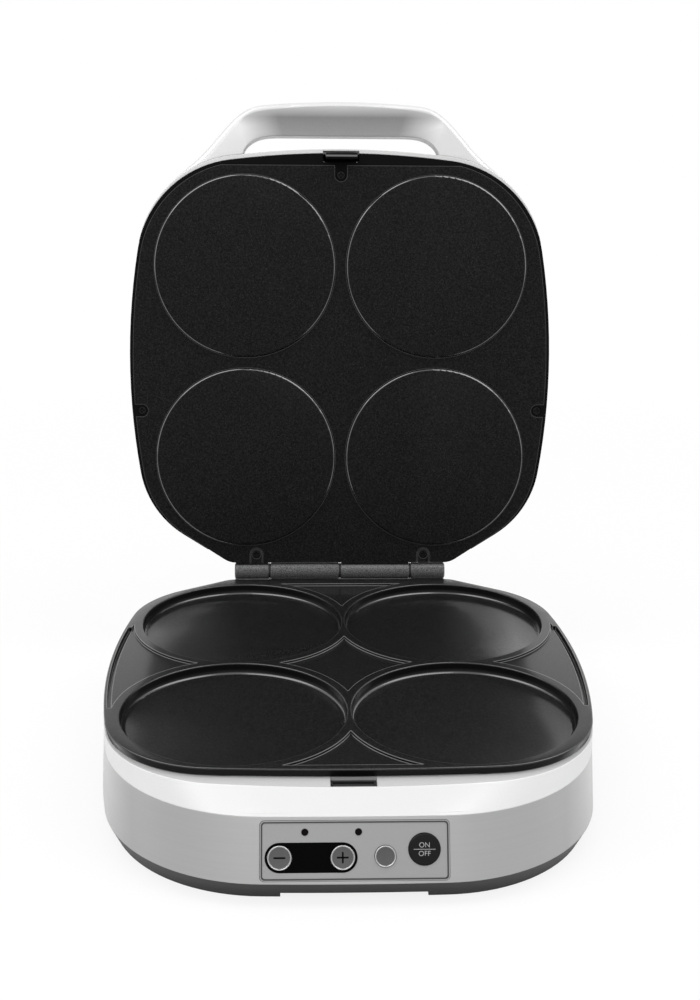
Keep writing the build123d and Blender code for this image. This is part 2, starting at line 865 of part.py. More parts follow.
# Lower plate: one casting with the pans, the lands, the heater's channel and two hinge barrels
with BuildPart() as lower_plate:
    with BuildSketch(deck.offset(-plate_edge)):
        add(plate_plan(-edge_draft))
    with BuildSketch(deck):
        add(plate_plan())
    loft()
    with BuildSketch(deck.offset(-cup_depth)):
        with GridLocations(pan_pitch, pan_pitch, pan_count, pan_count):
            Circle(pan_radius + cup_wall)
    extrude(amount=cup_depth - plate_edge)
    with BuildSketch(deck.offset(-channel_depth)):
        add(heater_track(channel_outer))
        with Locations(*side_clips, *front_clips):
            Circle(boss_radius)
    extrude(amount=channel_depth - plate_edge)
    with BuildSketch(deck.offset(-channel_depth)):
        add(heater_track(channel_inner))
    extrude(amount=channel_depth - cup_depth, mode=Mode.SUBTRACT)
    with BuildSketch(deck.offset(-shield_drop)):
        with GridLocations(2 * shield_boss, 2 * shield_boss, pan_count, pan_count):
            Circle(shield_boss_radius)
    extrude(amount=shield_drop - plate_edge)
    with BuildSketch(deck.offset(-tab_drop)):
        with Locations(*plate_screws):
            Circle(boss_radius)
    extrude(amount=tab_drop - plate_edge)
    # Hinge barrels, and the sill that runs on under the lid's own
    with BuildSketch(deck.offset(-plate_edge)):
        with Locations((0, (web_start + sill_back) / 2)):
            Rectangle(2 * barrel_outer, sill_back - web_start)
    extrude(amount=plate_edge + sill_top)
    for barrel_start, barrel_end in (
        (-barrel_inner + barrel_gap / 2, -barrel_gap / 2),
        (barrel_inner + barrel_gap / 2, barrel_outer),
    ):
        add(barrel(deck, barrel_start, barrel_end))
        with BuildSketch(deck_side.offset(barrel_start + barrel_chamfer)):
            with BuildLine():
                Polyline(
                    (web_start, -plate_edge),
                    (web_start, 0),
                    (hinge_y - web_step, 0),
                    (hinge_y, hinge_rise),
                    (hinge_y, hinge_rise - barrel_radius),
                    (base_back, -plate_edge),
                    close=True,
                )
            make_face()
        extrude(amount=barrel_end - barrel_start - 2 * barrel_chamfer)
    with BuildSketch(deck_side.offset(-barrel_outer)):
        with Locations((hinge_y, hinge_rise)):
            Circle(pin_radius + running_gap)
    extrude(amount=2 * barrel_outer, mode=Mode.SUBTRACT)
    # Screw holes from below
    with BuildSketch(deck.offset(-channel_depth)):
        with Locations(*side_clips, *front_clips):
            Circle(screw_radius + thread_gap)
    extrude(amount=screw_bite, mode=Mode.SUBTRACT)
    with BuildSketch(deck.offset(-shield_drop)):
        with GridLocations(2 * shield_boss, 2 * shield_boss, pan_count, pan_count):
            Circle(screw_radius + thread_gap)
    extrude(amount=screw_bite, mode=Mode.SUBTRACT)
    with BuildSketch(deck.offset(-tab_drop)):
        with Locations(*plate_screws):
            Circle(screw_radius + thread_gap)
    extrude(amount=screw_bite, mode=Mode.SUBTRACT)
    # Cooking side
    with BuildSketch(deck):
        with GridLocations(pan_pitch, pan_pitch, pan_count, pan_count):
            Circle(pan_radius)
    extrude(amount=-pan_depth, mode=Mode.SUBTRACT)
    with BuildSketch(deck):
        add(lands())
    extrude(amount=-land_depth, mode=Mode.SUBTRACT)
    with BuildSketch(deck):
        add(side_grooves())
    extrude(amount=-groove_depth, mode=Mode.SUBTRACT)
    pan_edges = lower_plate.edges().filter_by(GeomType.CIRCLE).filter_by(
        lambda e: abs(e.radius - pan_radius) < running_gap
    )
    fillet(pan_edges.group_by(Axis.Z)[-1], rim_round)
    pan_edges = lower_plate.edges().filter_by(GeomType.CIRCLE).filter_by(
        lambda e: abs(e.radius - pan_radius) < running_gap
    )
    fillet(pan_edges.group_by(Axis.Z)[0], pan_round)
lower_plate.part.label = "lower_plate"
export_step(lower_plate.part, "parts/lower_plate.step")

with BuildPart() as hinge_pin:
    with BuildSketch(deck_side.offset(-barrel_outer + pin_recess)):
        with Locations((hinge_y, hinge_rise)):
            Circle(pin_radius)
    extrude(amount=2 * (barrel_outer - pin_recess))
hinge_pin.part.label = "hinge_pin"
export_step(hinge_pin.part, "parts/hinge_pin.step")

with BuildPart() as lower_plate_screws:
    with BuildSketch(deck.offset(-tab_drop - tab_thickness)):
        with Locations(*plate_screws):
            Circle(screw_head_radius)
    extrude(amount=-screw_head_height)
    with BuildSketch(deck.offset(-tab_drop - tab_thickness)):
        with Locations(*plate_screws):
            Circle(screw_radius)
    extrude(amount=tab_thickness + screw_bite - hole_gap)
lower_plate_screws.part.label = "lower_plate_screws"
export_step(lower_plate_screws.part, "parts/lower_plate_screws.step")


def heater(back):
    """The sheathed rod, standing off the casting's back, with a thinner terminal at each end."""
    with BuildPart() as rod:
        with BuildLine(back.offset(slide_gap + heater_radius)) as path:
            FilletPolyline(*heater_corners, radius=heater_bend)
        with BuildSketch(Plane(origin=path.line @ 0, z_dir=path.line % 0)):
            Circle(heater_radius)
        sweep()
        for end in (0, 1):
            with BuildSketch(Plane(origin=path.line @ end, z_dir=back.y_dir)):
                Circle(terminal_radius)
            extrude(amount=terminal_length)
    return rod.part


def heater_clips(back):
    """Flat straps over the channel, each with one screw into the boss beside it."""
    reach = channel_outer / 2 + clip_offset + clip_overhang
    middle = loop_half + (clip_offset + clip_overhang - channel_outer / 2) / 2
    with BuildPart() as clips:
        with BuildSketch(back.offset(channel_rise)):
            with Locations((-middle, 0), (middle, 0)):
                Rectangle(reach, clip_width)
            with Locations((-clip_front_x, -middle), (clip_front_x, -middle)):
                Rectangle(clip_width, reach)
            with Locations(*side_clips, *front_clips):
                Circle(screw_radius + hole_gap, mode=Mode.SUBTRACT)
        extrude(amount=clip_thickness)
    return clips.part


def screws(seat, spots, shank, head=screw_head_radius, head_height=screw_head_height, body=screw_radius):
    """Heads on a seat plane, with their shanks running back through it."""
    with BuildPart() as group:
        with BuildSketch(seat):
            with Locations(*spots):
                Circle(head)
        extrude(amount=head_height)
        with BuildSketch(seat):
            with Locations(*spots):
                Circle(body)
        extrude(amount=-shank)
    return group.part


def heat_shield(back):
    """A shallow pan with an upturned rim, on four bosses of the casting."""
    with BuildPart() as shield:
        with BuildSketch(back.offset(shield_stand)):
            RectangleRounded(2 * shield_half, 2 * shield_half, shield_corner)
        extrude(amount=shield_thickness)
        with BuildSketch(back.offset(shield_stand + shield_thickness)):
            RectangleRounded(2 * shield_half, 2 * shield_half, shield_corner)
            RectangleRounded(
                2 * (shield_half - shield_thickness),
                2 * (shield_half - shield_thickness),
                shield_corner - shield_thickness,
                mode=Mode.SUBTRACT,
            )
        extrude(amount=-shield_rim)
        with BuildSketch(back.offset(shield_stand)):
            with GridLocations(2 * shield_boss, 2 * shield_boss, pan_count, pan_count):
                Circle(screw_radius + hole_gap)
        extrude(amount=shield_thickness, mode=Mode.SUBTRACT)
    return shield.part


def thermostat(back, reach):
    """A capped button pressed between the casting and the shield."""
    with BuildPart() as button:
        with BuildSketch(back.offset(shield_stand)):
            Circle(sensor_stem_radius)
        extrude(amount=-reach)
        with BuildSketch(back.offset(shield_stand - reach)):
            Circle(sensor_radius)
        extrude(amount=reach - sensor_stem)
    return button.part


def thermal_fuse(back):
    """A boxed link lying on the shield, with a lead at each end."""
    lead_start = (-fuse_size[0] / 2 - fuse_lead, fuse_y, shield_stand - fuse_size[2] / 2)
    with BuildPart() as fuse:
        with BuildSketch(back.offset(shield_stand)):
            with Locations((0, fuse_y)):
                Rectangle(fuse_size[0], fuse_size[1])
        extrude(amount=-fuse_size[2])
        with BuildSketch(Plane(origin=back.from_local_coords(lead_start), z_dir=back.x_dir)):
            Circle(fuse_lead_radius)
        extrude(amount=fuse_size[0] + 2 * fuse_lead)
    return fuse.part


shield_spots = [
    (-shield_boss, -shield_boss),
    (shield_boss, -shield_boss),
    (-shield_boss, shield_boss),
    (shield_boss, shield_boss),
]

with BuildPart() as lower_heater:
    add(heater(under_pans))
lower_heater.part.label = "lower_heater"
export_step(lower_heater.part, "parts/lower_heater.step")

with BuildPart() as lower_heater_clips:
    add(heater_clips(under_pans))
lower_heater_clips.part.label = "lower_heater_clips"
export_step(lower_heater_clips.part, "parts/lower_heater_clips.step")

with BuildPart() as lower_clip_screws:
    add(screws(
        under_pans.offset(channel_rise + clip_thickness),
        side_clips + front_clips,
        clip_thickness + screw_bite - hole_gap,
    ))
lower_clip_screws.part.label = "lower_clip_screws"
export_step(lower_clip_screws.part, "parts/lower_clip_screws.step")

with BuildPart() as lower_heat_shield:
    add(heat_shield(under_pans))
lower_heat_shield.part.label = "lower_heat_shield"
export_step(lower_heat_shield.part, "parts/lower_heat_shield.step")

with BuildPart() as lower_shield_screws:
    add(screws(
        under_pans.offset(shield_stand + shield_thickness),
        shield_spots,
        shield_thickness + screw_bite - hole_gap,
    ))
lower_shield_screws.part.label = "lower_shield_screws"
export_step(lower_shield_screws.part, "parts/lower_shield_screws.step")

with BuildPart() as lower_thermostat:
    add(thermostat(under_pans, shield_drop - plate_edge))
lower_thermostat.part.label = "lower_thermostat"
export_step(lower_thermostat.part, "parts/lower_thermostat.step")

with BuildPart() as lower_thermal_fuse:
    add(thermal_fuse(under_pans))
lower_thermal_fuse.part.label = "lower_thermal_fuse"
export_step(lower_thermal_fuse.part, "parts/lower_thermal_fuse.step")

# Latch catch: a folded well under the ledge, with the bar that the hook takes
with BuildPart() as latch_catch:
    with BuildSketch(deck.offset(-plate_edge - ledge_thickness)):
        with Locations((0, -well_mid)):
            Rectangle(2 * (well_half + well_wall), well_length)
    extrude(amount=-(well_depth - plate_edge - ledge_thickness))
    with BuildSketch(deck.offset(-plate_edge - ledge_thickness)):
        with Locations((0, -(slot_rear + hole_gap + well_flange_front) / 2)):
            Rectangle(2 * well_flange, well_flange_front - slot_rear - hole_gap)
    extrude(amount=-well_flange_thickness)
    with BuildSketch(deck.offset(-plate_edge - ledge_thickness)):
        with Locations((0, -well_mid - well_wall)):
            Rectangle(2 * well_half, well_length)
    extrude(amount=-(well_depth - plate_edge - ledge_thickness - well_floor), mode=Mode.SUBTRACT)
    with BuildSketch(deck.offset(-plate_edge - ledge_thickness)):
        with Locations((-well_screw_x, -well_mid), (well_screw_x, -well_mid)):
            Circle(small_screw_radius + hole_gap)
    extrude(amount=-well_flange_thickness, mode=Mode.SUBTRACT)
    with BuildSketch(deck_side.offset(-well_half)):
        with Locations((-catch_y, -catch_drop)):
            Circle(catch_radius)
    extrude(amount=2 * well_half)
latch_catch.part.label = "latch_catch"
export_step(latch_catch.part, "parts/latch_catch.step")

with BuildPart() as catch_screws:
    add(screws(
        under_pans.offset(plate_edge + ledge_thickness + well_flange_thickness - cup_depth),
        [(-well_screw_x, -well_mid), (well_screw_x, -well_mid)],
        well_flange_thickness + ledge_thickness / 2 - hole_gap,
        small_head_radius,
        small_head_height,
        small_screw_radius,
    ))
catch_screws.part.label = "catch_screws"
export_step(catch_screws.part, "parts/catch_screws.step")

# Control panel, on the sloping front wall
board_spots = [
    (board_post_mid_x, -board_post_y),
    (board_post_x, -board_post_y),
    (-board_post_x, board_post_y),
    (board_post_x, board_post_y),
]
button_spots = {
    "minus_button": (minus_x, pill_y, step_button_radius, panel_thickness + window_flange_thickness),
    "plus_button": (plus_x, pill_y, step_button_radius, panel_thickness + window_flange_thickness),
    "extra_button": (extra_x, extra_y, extra_button_radius, panel_thickness),
    "start_button": (start_x, start_y, start_button_radius, panel_thickness),
}
stem_end = board_depth - switch_height - plunger_height - button_travel - button_slack

with BuildPart() as panel_frame:
    inner_width = panel_width - 2 * panel_frame_wall
    inner_height = panel_height - 2 * panel_frame_wall
    with BuildSketch(panel_plane.offset(panel_sink)):
        RectangleRounded(panel_width, panel_height, panel_round)
    extrude(amount=-panel_sink - panel_frame_depth)
    with BuildSketch(panel_plane.offset(-panel_frame_flange_top)):
        RectangleRounded(panel_width + 2 * panel_frame_flange, panel_height, panel_round)
    extrude(amount=panel_frame_flange_top - panel_frame_depth)
    with BuildSketch(panel_plane.offset(panel_sink)):
        RectangleRounded(inner_width, inner_height, panel_round - panel_frame_wall)
    extrude(amount=-panel_sink - panel_thickness, mode=Mode.SUBTRACT)
    with BuildSketch(panel_plane.offset(-panel_thickness)):
        RectangleRounded(
            inner_width - 2 * panel_frame_lip,
            inner_height - 2 * panel_frame_lip,
            panel_round - panel_frame_wall - panel_frame_lip,
        )
    extrude(amount=panel_thickness - panel_frame_depth, mode=Mode.SUBTRACT)
panel_frame.part.label = "panel_frame"
export_step(panel_frame.part, "parts/panel_frame.step")

with BuildPart() as control_panel:
    with BuildSketch(panel_plane):
        RectangleRounded(
            inner_width - 2 * panel_fit, inner_height - 2 * panel_fit, panel_round - panel_frame_wall
        )
    extrude(amount=-panel_thickness)
    with BuildSketch(panel_plane.offset(-panel_thickness)):
        with Locations(*board_spots):
            Circle(board_post_radius)
    extrude(amount=panel_thickness - board_depth)
    with BuildSketch(panel_plane.offset(-board_depth)):
        with Locations(*board_spots):
            Circle(small_screw_radius + thread_gap)
    extrude(amount=board_screw_bite, mode=Mode.SUBTRACT)
    with BuildSketch(panel_plane):
        add(pill(panel_fit))
        with Locations((extra_x, extra_y)):
            Circle(extra_button_radius + button_gap)
        with Locations((start_x, start_y)):
            Circle(start_button_radius + button_gap)
        with Locations((lamp_left_x, lamp_y), (lamp_right_x, lamp_y)):
            Circle(lamp_radius + button_gap)
    extrude(amount=-panel_thickness, mode=Mode.SUBTRACT)
control_panel.part.label = "control_panel"
export_step(control_panel.part, "parts/control_panel.step")

with BuildPart() as display_window:
    with BuildSketch(panel_plane):
        add(pill())
    extrude(amount=-panel_thickness)
    with BuildSketch(panel_plane.offset(-panel_thickness)):
        add(pill(window_flange))
    extrude(amount=-window_flange_thickness)
    with BuildSketch(panel_plane):
        with Locations((minus_x, pill_y), (plus_x, pill_y)):
            Circle(step_button_radius + button_gap)
    extrude(amount=-panel_thickness - window_flange_thickness, mode=Mode.SUBTRACT)
display_window.part.label = "display_window"
export_step(display_window.part, "parts/display_window.step")


def push_button(x, y, radius, seat):
    """A round cap with a flange behind the panel and a stem towards its switch."""
    with BuildPart() as cap:
        with BuildSketch(panel_plane.offset(button_stand)):
            with Locations((x, y)):
                Circle(radius)
        extrude(amount=-button_stand - seat)
        front_face = cap.faces().sort_by(Axis(panel_plane.origin, panel_plane.z_dir))[-1]
        chamfer(front_face.edges(), button_chamfer)
        with BuildSketch(panel_plane.offset(-seat)):
            with Locations((x, y)):
                Circle(radius + button_flange)
        extrude(amount=-button_flange_thickness)
        with BuildSketch(panel_plane.offset(-stem_end)):
            with Locations((x, y)):
                Circle(button_stem_radius)
        extrude(amount=stem_end - seat)
    return cap.part


with BuildPart() as minus_button:
    add(push_button(*button_spots["minus_button"]))
minus_button.part.label = "minus_button"
export_step(minus_button.part, "parts/minus_button.step")

with BuildPart() as plus_button:
    add(push_button(*button_spots["plus_button"]))
plus_button.part.label = "plus_button"
export_step(plus_button.part, "parts/plus_button.step")

with BuildPart() as extra_button:
    add(push_button(*button_spots["extra_button"]))
extra_button.part.label = "extra_button"
export_step(extra_button.part, "parts/extra_button.step")

with BuildPart() as start_button:
    add(push_button(*button_spots["start_button"]))
start_button.part.label = "start_button"
export_step(start_button.part, "parts/start_button.step")

with BuildPart() as power_lamp:
    with BuildSketch(panel_plane.offset(lamp_stand)):
        with Locations((lamp_left_x, lamp_y)):
            Circle(lamp_radius)
    extrude(amount=-lamp_stand - board_depth)
power_lamp.part.label = "power_lamp"
export_step(power_lamp.part, "parts/power_lamp.step")

with BuildPart() as ready_lamp:
    with BuildSketch(panel_plane.offset(lamp_stand)):
        with Locations((lamp_right_x, lamp_y)):
            Circle(lamp_radius)
    extrude(amount=-lamp_stand - board_depth)
ready_lamp.part.label = "ready_lamp"
export_step(ready_lamp.part, "parts/ready_lamp.step")

with BuildPart() as control_board:
    with BuildSketch(panel_plane.offset(-board_depth)):
        Rectangle(board_width, board_height)
        with Locations(*board_spots):
            Circle(small_screw_radius + hole_gap, mode=Mode.SUBTRACT)
    extrude(amount=-board_thickness)
control_board.part.label = "control_board"
export_step(control_board.part, "parts/control_board.step")

with BuildPart() as board_screws:
    add(screws(
        Plane(
            origin=panel_plane.offset(-board_depth - board_thickness).origin,
            x_dir=(-1, 0, 0),
            z_dir=-panel_plane.z_dir,
        ),
        [(-spot_x, spot_y) for spot_x, spot_y in board_spots],
        board_thickness + board_screw_bite - hole_gap,
        small_head_radius,
        small_head_height,
        small_screw_radius,
    ))
board_screws.part.label = "board_screws"
export_step(board_screws.part, "parts/board_screws.step")

with BuildPart() as button_switches:
    for button in button_spots.values():
        with BuildSketch(panel_plane.offset(-board_depth)):
            with Locations(button[:2]):
                Rectangle(switch_size, switch_size)
        extrude(amount=switch_height)
        with BuildSketch(panel_plane.offset(switch_height - board_depth)):
            with Locations(button[:2]):
                Circle(plunger_radius)
        extrude(amount=plunger_height)
button_switches.part.label = "button_switches"
export_step(button_switches.part, "parts/button_switches.step")

with BuildPart() as display_module:
    with BuildSketch(panel_plane.offset(-board_depth)):
        with Locations((pill_x, pill_y)):
            Rectangle(display_width, display_height)
    extrude(amount=board_depth - panel_thickness - window_flange_thickness - slide_gap)
display_module.part.label = "display_module"
export_step(display_module.part, "parts/display_module.step")

# Electrics on the tray's floor
power_spots = [
    (-standoff_x, power_y - standoff_y),
    (standoff_x, power_y - standoff_y),
    (-standoff_x, power_y + standoff_y),
    (standoff_x, power_y + standoff_y),
]

with BuildPart() as power_board:
    with BuildSketch(bench.offset(power_height)):
        with Locations((0, power_y)):
            Rectangle(power_width, power_length)
        with Locations(*power_spots):
            Circle(small_screw_radius + hole_gap, mode=Mode.SUBTRACT)
    extrude(amount=board_thickness)
power_board.part.label = "power_board"
export_step(power_board.part, "parts/power_board.step")

with BuildPart() as power_board_screws:
    add(screws(
        bench.offset(power_height + board_thickness),
        power_spots,
        board_thickness + board_screw_bite - hole_gap,
        small_head_radius,
        small_head_height,
        small_screw_radius,
    ))
power_board_screws.part.label = "power_board_screws"
export_step(power_board_screws.part, "parts/power_board_screws.step")

with BuildPart() as heater_relay:
    with BuildSketch(bench.offset(power_height + board_thickness)):
        with Locations(relay_spot):
            Rectangle(relay_size[0], relay_size[1])
    extrude(amount=relay_size[2])
heater_relay.part.label = "heater_relay"
export_step(heater_relay.part, "parts/heater_relay.step")

with BuildPart() as transformer:
    with BuildSketch(bench.offset(power_height + board_thickness)):
        with Locations(transformer_spot):
            Rectangle(transformer_size[0], transformer_size[1])
    extrude(amount=transformer_size[2])
    chamfer(transformer.edges().filter_by(Axis.Z), board_thickness)
transformer.part.label = "transformer"
export_step(transformer.part, "parts/transformer.step")

with BuildPart() as smoothing_capacitor:
    with BuildSketch(bench.offset(power_height + board_thickness)):
        with Locations(capacitor_spot):
            Circle(capacitor_radius)
    extrude(amount=capacitor_length)
smoothing_capacitor.part.label = "smoothing_capacitor"
export_step(smoothing_capacitor.part, "parts/smoothing_capacitor.step")

with BuildPart() as terminal_block:
    with BuildSketch(bench.offset(floor_top)):
        with Locations(block_spot):
            Rectangle(block_size[0], block_size[1])
    extrude(amount=block_size[2])
    with BuildSketch(bench.offset(floor_top + block_size[2])):
        with Locations(block_spot):
            with GridLocations(block_pitch, 0, block_holes, 1):
                Circle(block_hole_radius)
    extrude(amount=-block_hole_depth, mode=Mode.SUBTRACT)
terminal_block.part.label = "terminal_block"
export_step(terminal_block.part, "parts/terminal_block.step")

with BuildPart() as cord_gland:
    rear_face = Plane(origin=(gland_x, grid_y + base_back, gland_height), z_dir=(0, 1, 0))
    with BuildSketch(rear_face):
        Circle(gland_flange)
    extrude(amount=gland_flange_thickness)
    with BuildSketch(rear_face):
        Circle(gland_neck)
    extrude(amount=-wall_thickness)
    with BuildSketch(rear_face.offset(-wall_thickness)):
        Circle(gland_clip)
    extrude(amount=-gland_clip_thickness)
    with BuildSketch(rear_face.offset(gland_flange_thickness)):
        Circle(gland_bore)
    extrude(
        amount=-gland_flange_thickness - wall_thickness - gland_clip_thickness, mode=Mode.SUBTRACT
    )
cord_gland.part.label = "cord_gland"
export_step(cord_gland.part, "parts/cord_gland.step")

# Lid: the upper plate, with four raised discs and its two hinge barrels
with BuildPart() as upper_plate:
    with BuildSketch(lid_deck.offset(lid_gap)):
        add(lid_plate_plan())
    extrude(amount=plate_edge)
    with BuildSketch(lid_deck.offset(lid_gap)):
        with GridLocations(pan_pitch, pan_pitch, pan_count, pan_count):
            Circle(disc_radius)
    extrude(amount=-disc_rise)
    disc_edges = upper_plate.edges().filter_by(GeomType.CIRCLE).sort_by(lid_up)[: pan_count * pan_count]
    fillet(disc_edges, disc_round)
    with BuildSketch(over_plate):
        add(heater_track(channel_outer))
        with Locations(*side_clips, *front_clips):
            Circle(boss_radius)
    extrude(amount=channel_rise)
    with BuildSketch(over_plate):
        add(heater_track(channel_inner))
    extrude(amount=channel_rise, mode=Mode.SUBTRACT)
    with BuildSketch(over_plate):
        with Locations(*shield_spots):
            Circle(shield_boss_radius)
    extrude(amount=shield_stand)
    for barrel_start, barrel_end in (
        (-barrel_outer, -barrel_inner - barrel_gap / 2),
        (barrel_gap / 2, barrel_inner - barrel_gap / 2),
    ):
        add(barrel(lid_deck, barrel_start, barrel_end))
        with BuildSketch(lid_side.offset(barrel_start + barrel_chamfer)):
            with BuildLine():
                Polyline(
                    (web_start, lid_gap),
                    (hinge_y - web_step, lid_gap),
                    (hinge_y, hinge_rise),
                    (hinge_y, hinge_rise + barrel_radius),
                    (lid_back, lid_gap + plate_edge),
                    (web_start, lid_gap + plate_edge),
                    close=True,
                )
            make_face()
        extrude(amount=barrel_end - barrel_start - 2 * barrel_chamfer)
    with BuildSketch(lid_side.offset(-barrel_outer)):
        with Locations((hinge_y, hinge_rise)):
            Circle(pin_radius + running_gap)
    extrude(amount=2 * barrel_outer, mode=Mode.SUBTRACT)
    with BuildSketch(over_plate.offset(channel_rise)):
        with Locations(*side_clips, *front_clips):
            Circle(screw_radius + thread_gap)
    extrude(amount=-screw_bite, mode=Mode.SUBTRACT)
    with BuildSketch(over_plate.offset(shield_stand)):
        with Locations(*shield_spots):
            Circle(screw_radius + thread_gap)
    extrude(amount=-screw_bite, mode=Mode.SUBTRACT)
    # Screw holes, and the recesses that take the frame's lugs
    with BuildSketch(lid_deck.offset(lid_gap)):
        with Locations(*lid_screws):
            Circle(screw_radius + hole_gap)
    extrude(amount=plate_edge, mode=Mode.SUBTRACT)
    with BuildSketch(lid_deck.offset(lid_gap)):
        add(lugs(frame_fit))
    extrude(amount=frame_thickness + frame_fit, mode=Mode.SUBTRACT)
    with BuildSketch(lid_deck.offset(lid_gap)):
        with Locations(*rear_screws):
            Circle(lid_head_radius + hole_gap)
    extrude(amount=lid_head_sink + lid_head_height, mode=Mode.SUBTRACT)
    with BuildSketch(lid_deck.offset(lid_gap)):
        add(rear_lugs(lug_groove_width))
        add(rear_lugs(), mode=Mode.SUBTRACT)
    extrude(amount=lug_groove_depth, mode=Mode.SUBTRACT)
upper_plate.part.label = "upper_plate"
export_step(upper_plate.part, "parts/upper_plate.step")

with BuildPart() as upper_heater:
    add(heater(over_plate))
upper_heater.part.label = "upper_heater"
export_step(upper_heater.part, "parts/upper_heater.step")

with BuildPart() as upper_heater_clips:
    add(heater_clips(over_plate))
upper_heater_clips.part.label = "upper_heater_clips"
export_step(upper_heater_clips.part, "parts/upper_heater_clips.step")

with BuildPart() as upper_clip_screws:
    add(screws(
        over_plate.offset(channel_rise + clip_thickness),
        side_clips + front_clips,
        clip_thickness + screw_bite - hole_gap,
    ))
upper_clip_screws.part.label = "upper_clip_screws"
export_step(upper_clip_screws.part, "parts/upper_clip_screws.step")

with BuildPart() as upper_heat_shield:
    add(heat_shield(over_plate))
upper_heat_shield.part.label = "upper_heat_shield"
export_step(upper_heat_shield.part, "parts/upper_heat_shield.step")

with BuildPart() as upper_shield_screws:
    add(screws(
        over_plate.offset(shield_stand + shield_thickness),
        shield_spots,
        shield_thickness + screw_bite - hole_gap,
    ))
upper_shield_screws.part.label = "upper_shield_screws"
export_step(upper_shield_screws.part, "parts/upper_shield_screws.step")

with BuildPart() as upper_thermal_fuse:
    add(thermal_fuse(over_plate))
upper_thermal_fuse.part.label = "upper_thermal_fuse"
export_step(upper_thermal_fuse.part, "parts/upper_thermal_fuse.step")

# The black frame round the upper plate, wide at the front, with lugs under three of the screws
with BuildPart() as lid_frame:
    with BuildSketch(lid_deck.offset(lid_gap)):
        add(frame_plan())
        add(lid_plate_plan(frame_fit), mode=Mode.SUBTRACT)
        with Locations((0, lid_back)):
            Rectangle(2 * (neck_half + neck_round), 2 * neck_round, mode=Mode.SUBTRACT)
        add(lugs())
    extrude(amount=frame_thickness)
    with BuildSketch(lid_deck.offset(lid_gap)):
        add(lid_plan(-cover_wall - slide_gap))
        with Locations((0, lid_front - lid_plate_front - frame_fit)):
            Rectangle(2 * lid_half, 2 * lid_front, mode=Mode.SUBTRACT)
    extrude(amount=plate_edge + frame_flange)
    with BuildSketch(over_plate):
        add(lid_plan(-cover_wall - slide_gap))
        with Locations((0, lid_front - lid_plate_front + frame_flange_reach)):
            Rectangle(2 * lid_half, 2 * lid_front, mode=Mode.SUBTRACT)
    extrude(amount=frame_flange)
    # Ears for the latch's pin
    with BuildSketch(over_plate.offset(frame_flange)):
        with Locations((-ear_middle, -hook_pivot_y), (ear_middle, -hook_pivot_y)):
            Rectangle(ear_thickness, 2 * ear_reach)
    extrude(amount=hook_pivot_height + ear_reach - lid_gap - plate_edge - frame_flange)
    with BuildSketch(lid_side.offset(-ear_middle - ear_thickness)):
        with Locations((-hook_pivot_y, hook_pivot_height)):
            Circle(latch_pin_radius + running_gap)
    extrude(amount=2 * (ear_middle + ear_thickness), mode=Mode.SUBTRACT)
    with BuildSketch(lid_deck.offset(lid_gap)):
        with Locations((0, -(hook_slot_rear + recess_front) / 2)):
            Rectangle(2 * slot_half, recess_front - hook_slot_rear)
    extrude(amount=plate_edge + frame_flange, mode=Mode.SUBTRACT)
    with BuildSketch(lid_deck.offset(lid_gap)):
        with Locations(front_screw, *side_screws):
            Circle(screw_radius + hole_gap)
    extrude(amount=frame_thickness, mode=Mode.SUBTRACT)
    with BuildSketch(lid_deck.offset(lid_gap)):
        with Locations(front_screw, *side_screws):
            Circle(lid_head_radius + hole_gap)
    extrude(amount=lid_head_sink + lid_head_height, mode=Mode.SUBTRACT)
lid_frame.part.label = "lid_frame"
export_step(lid_frame.part, "parts/lid_frame.step")

with BuildPart() as lid_plate_screws:
    add(screws(
        Plane(
            origin=lid_deck.offset(lid_gap + lid_head_sink + lid_head_height).origin,
            x_dir=(-1, 0, 0),
            z_dir=-lid_deck.z_dir,
        ),
        lid_screws,
        lid_screw_length,
        lid_head_radius,
        lid_head_height,
    ))
lid_plate_screws.part.label = "lid_plate_screws"
export_step(lid_plate_screws.part, "parts/lid_plate_screws.step")


def lid_dome(inset):
    """The lid's rounded form, drawn in by an inset everywhere but on its open side."""
    with BuildPart() as dome:
        with BuildSketch(lid_deck.offset(lid_gap)):
            add(lid_plan(-inset))
        extrude(amount=cover_height - lid_gap - inset)
        fillet(dome.faces().sort_by(lid_up)[-1].edges(), cover_round - inset)
    return dome.part


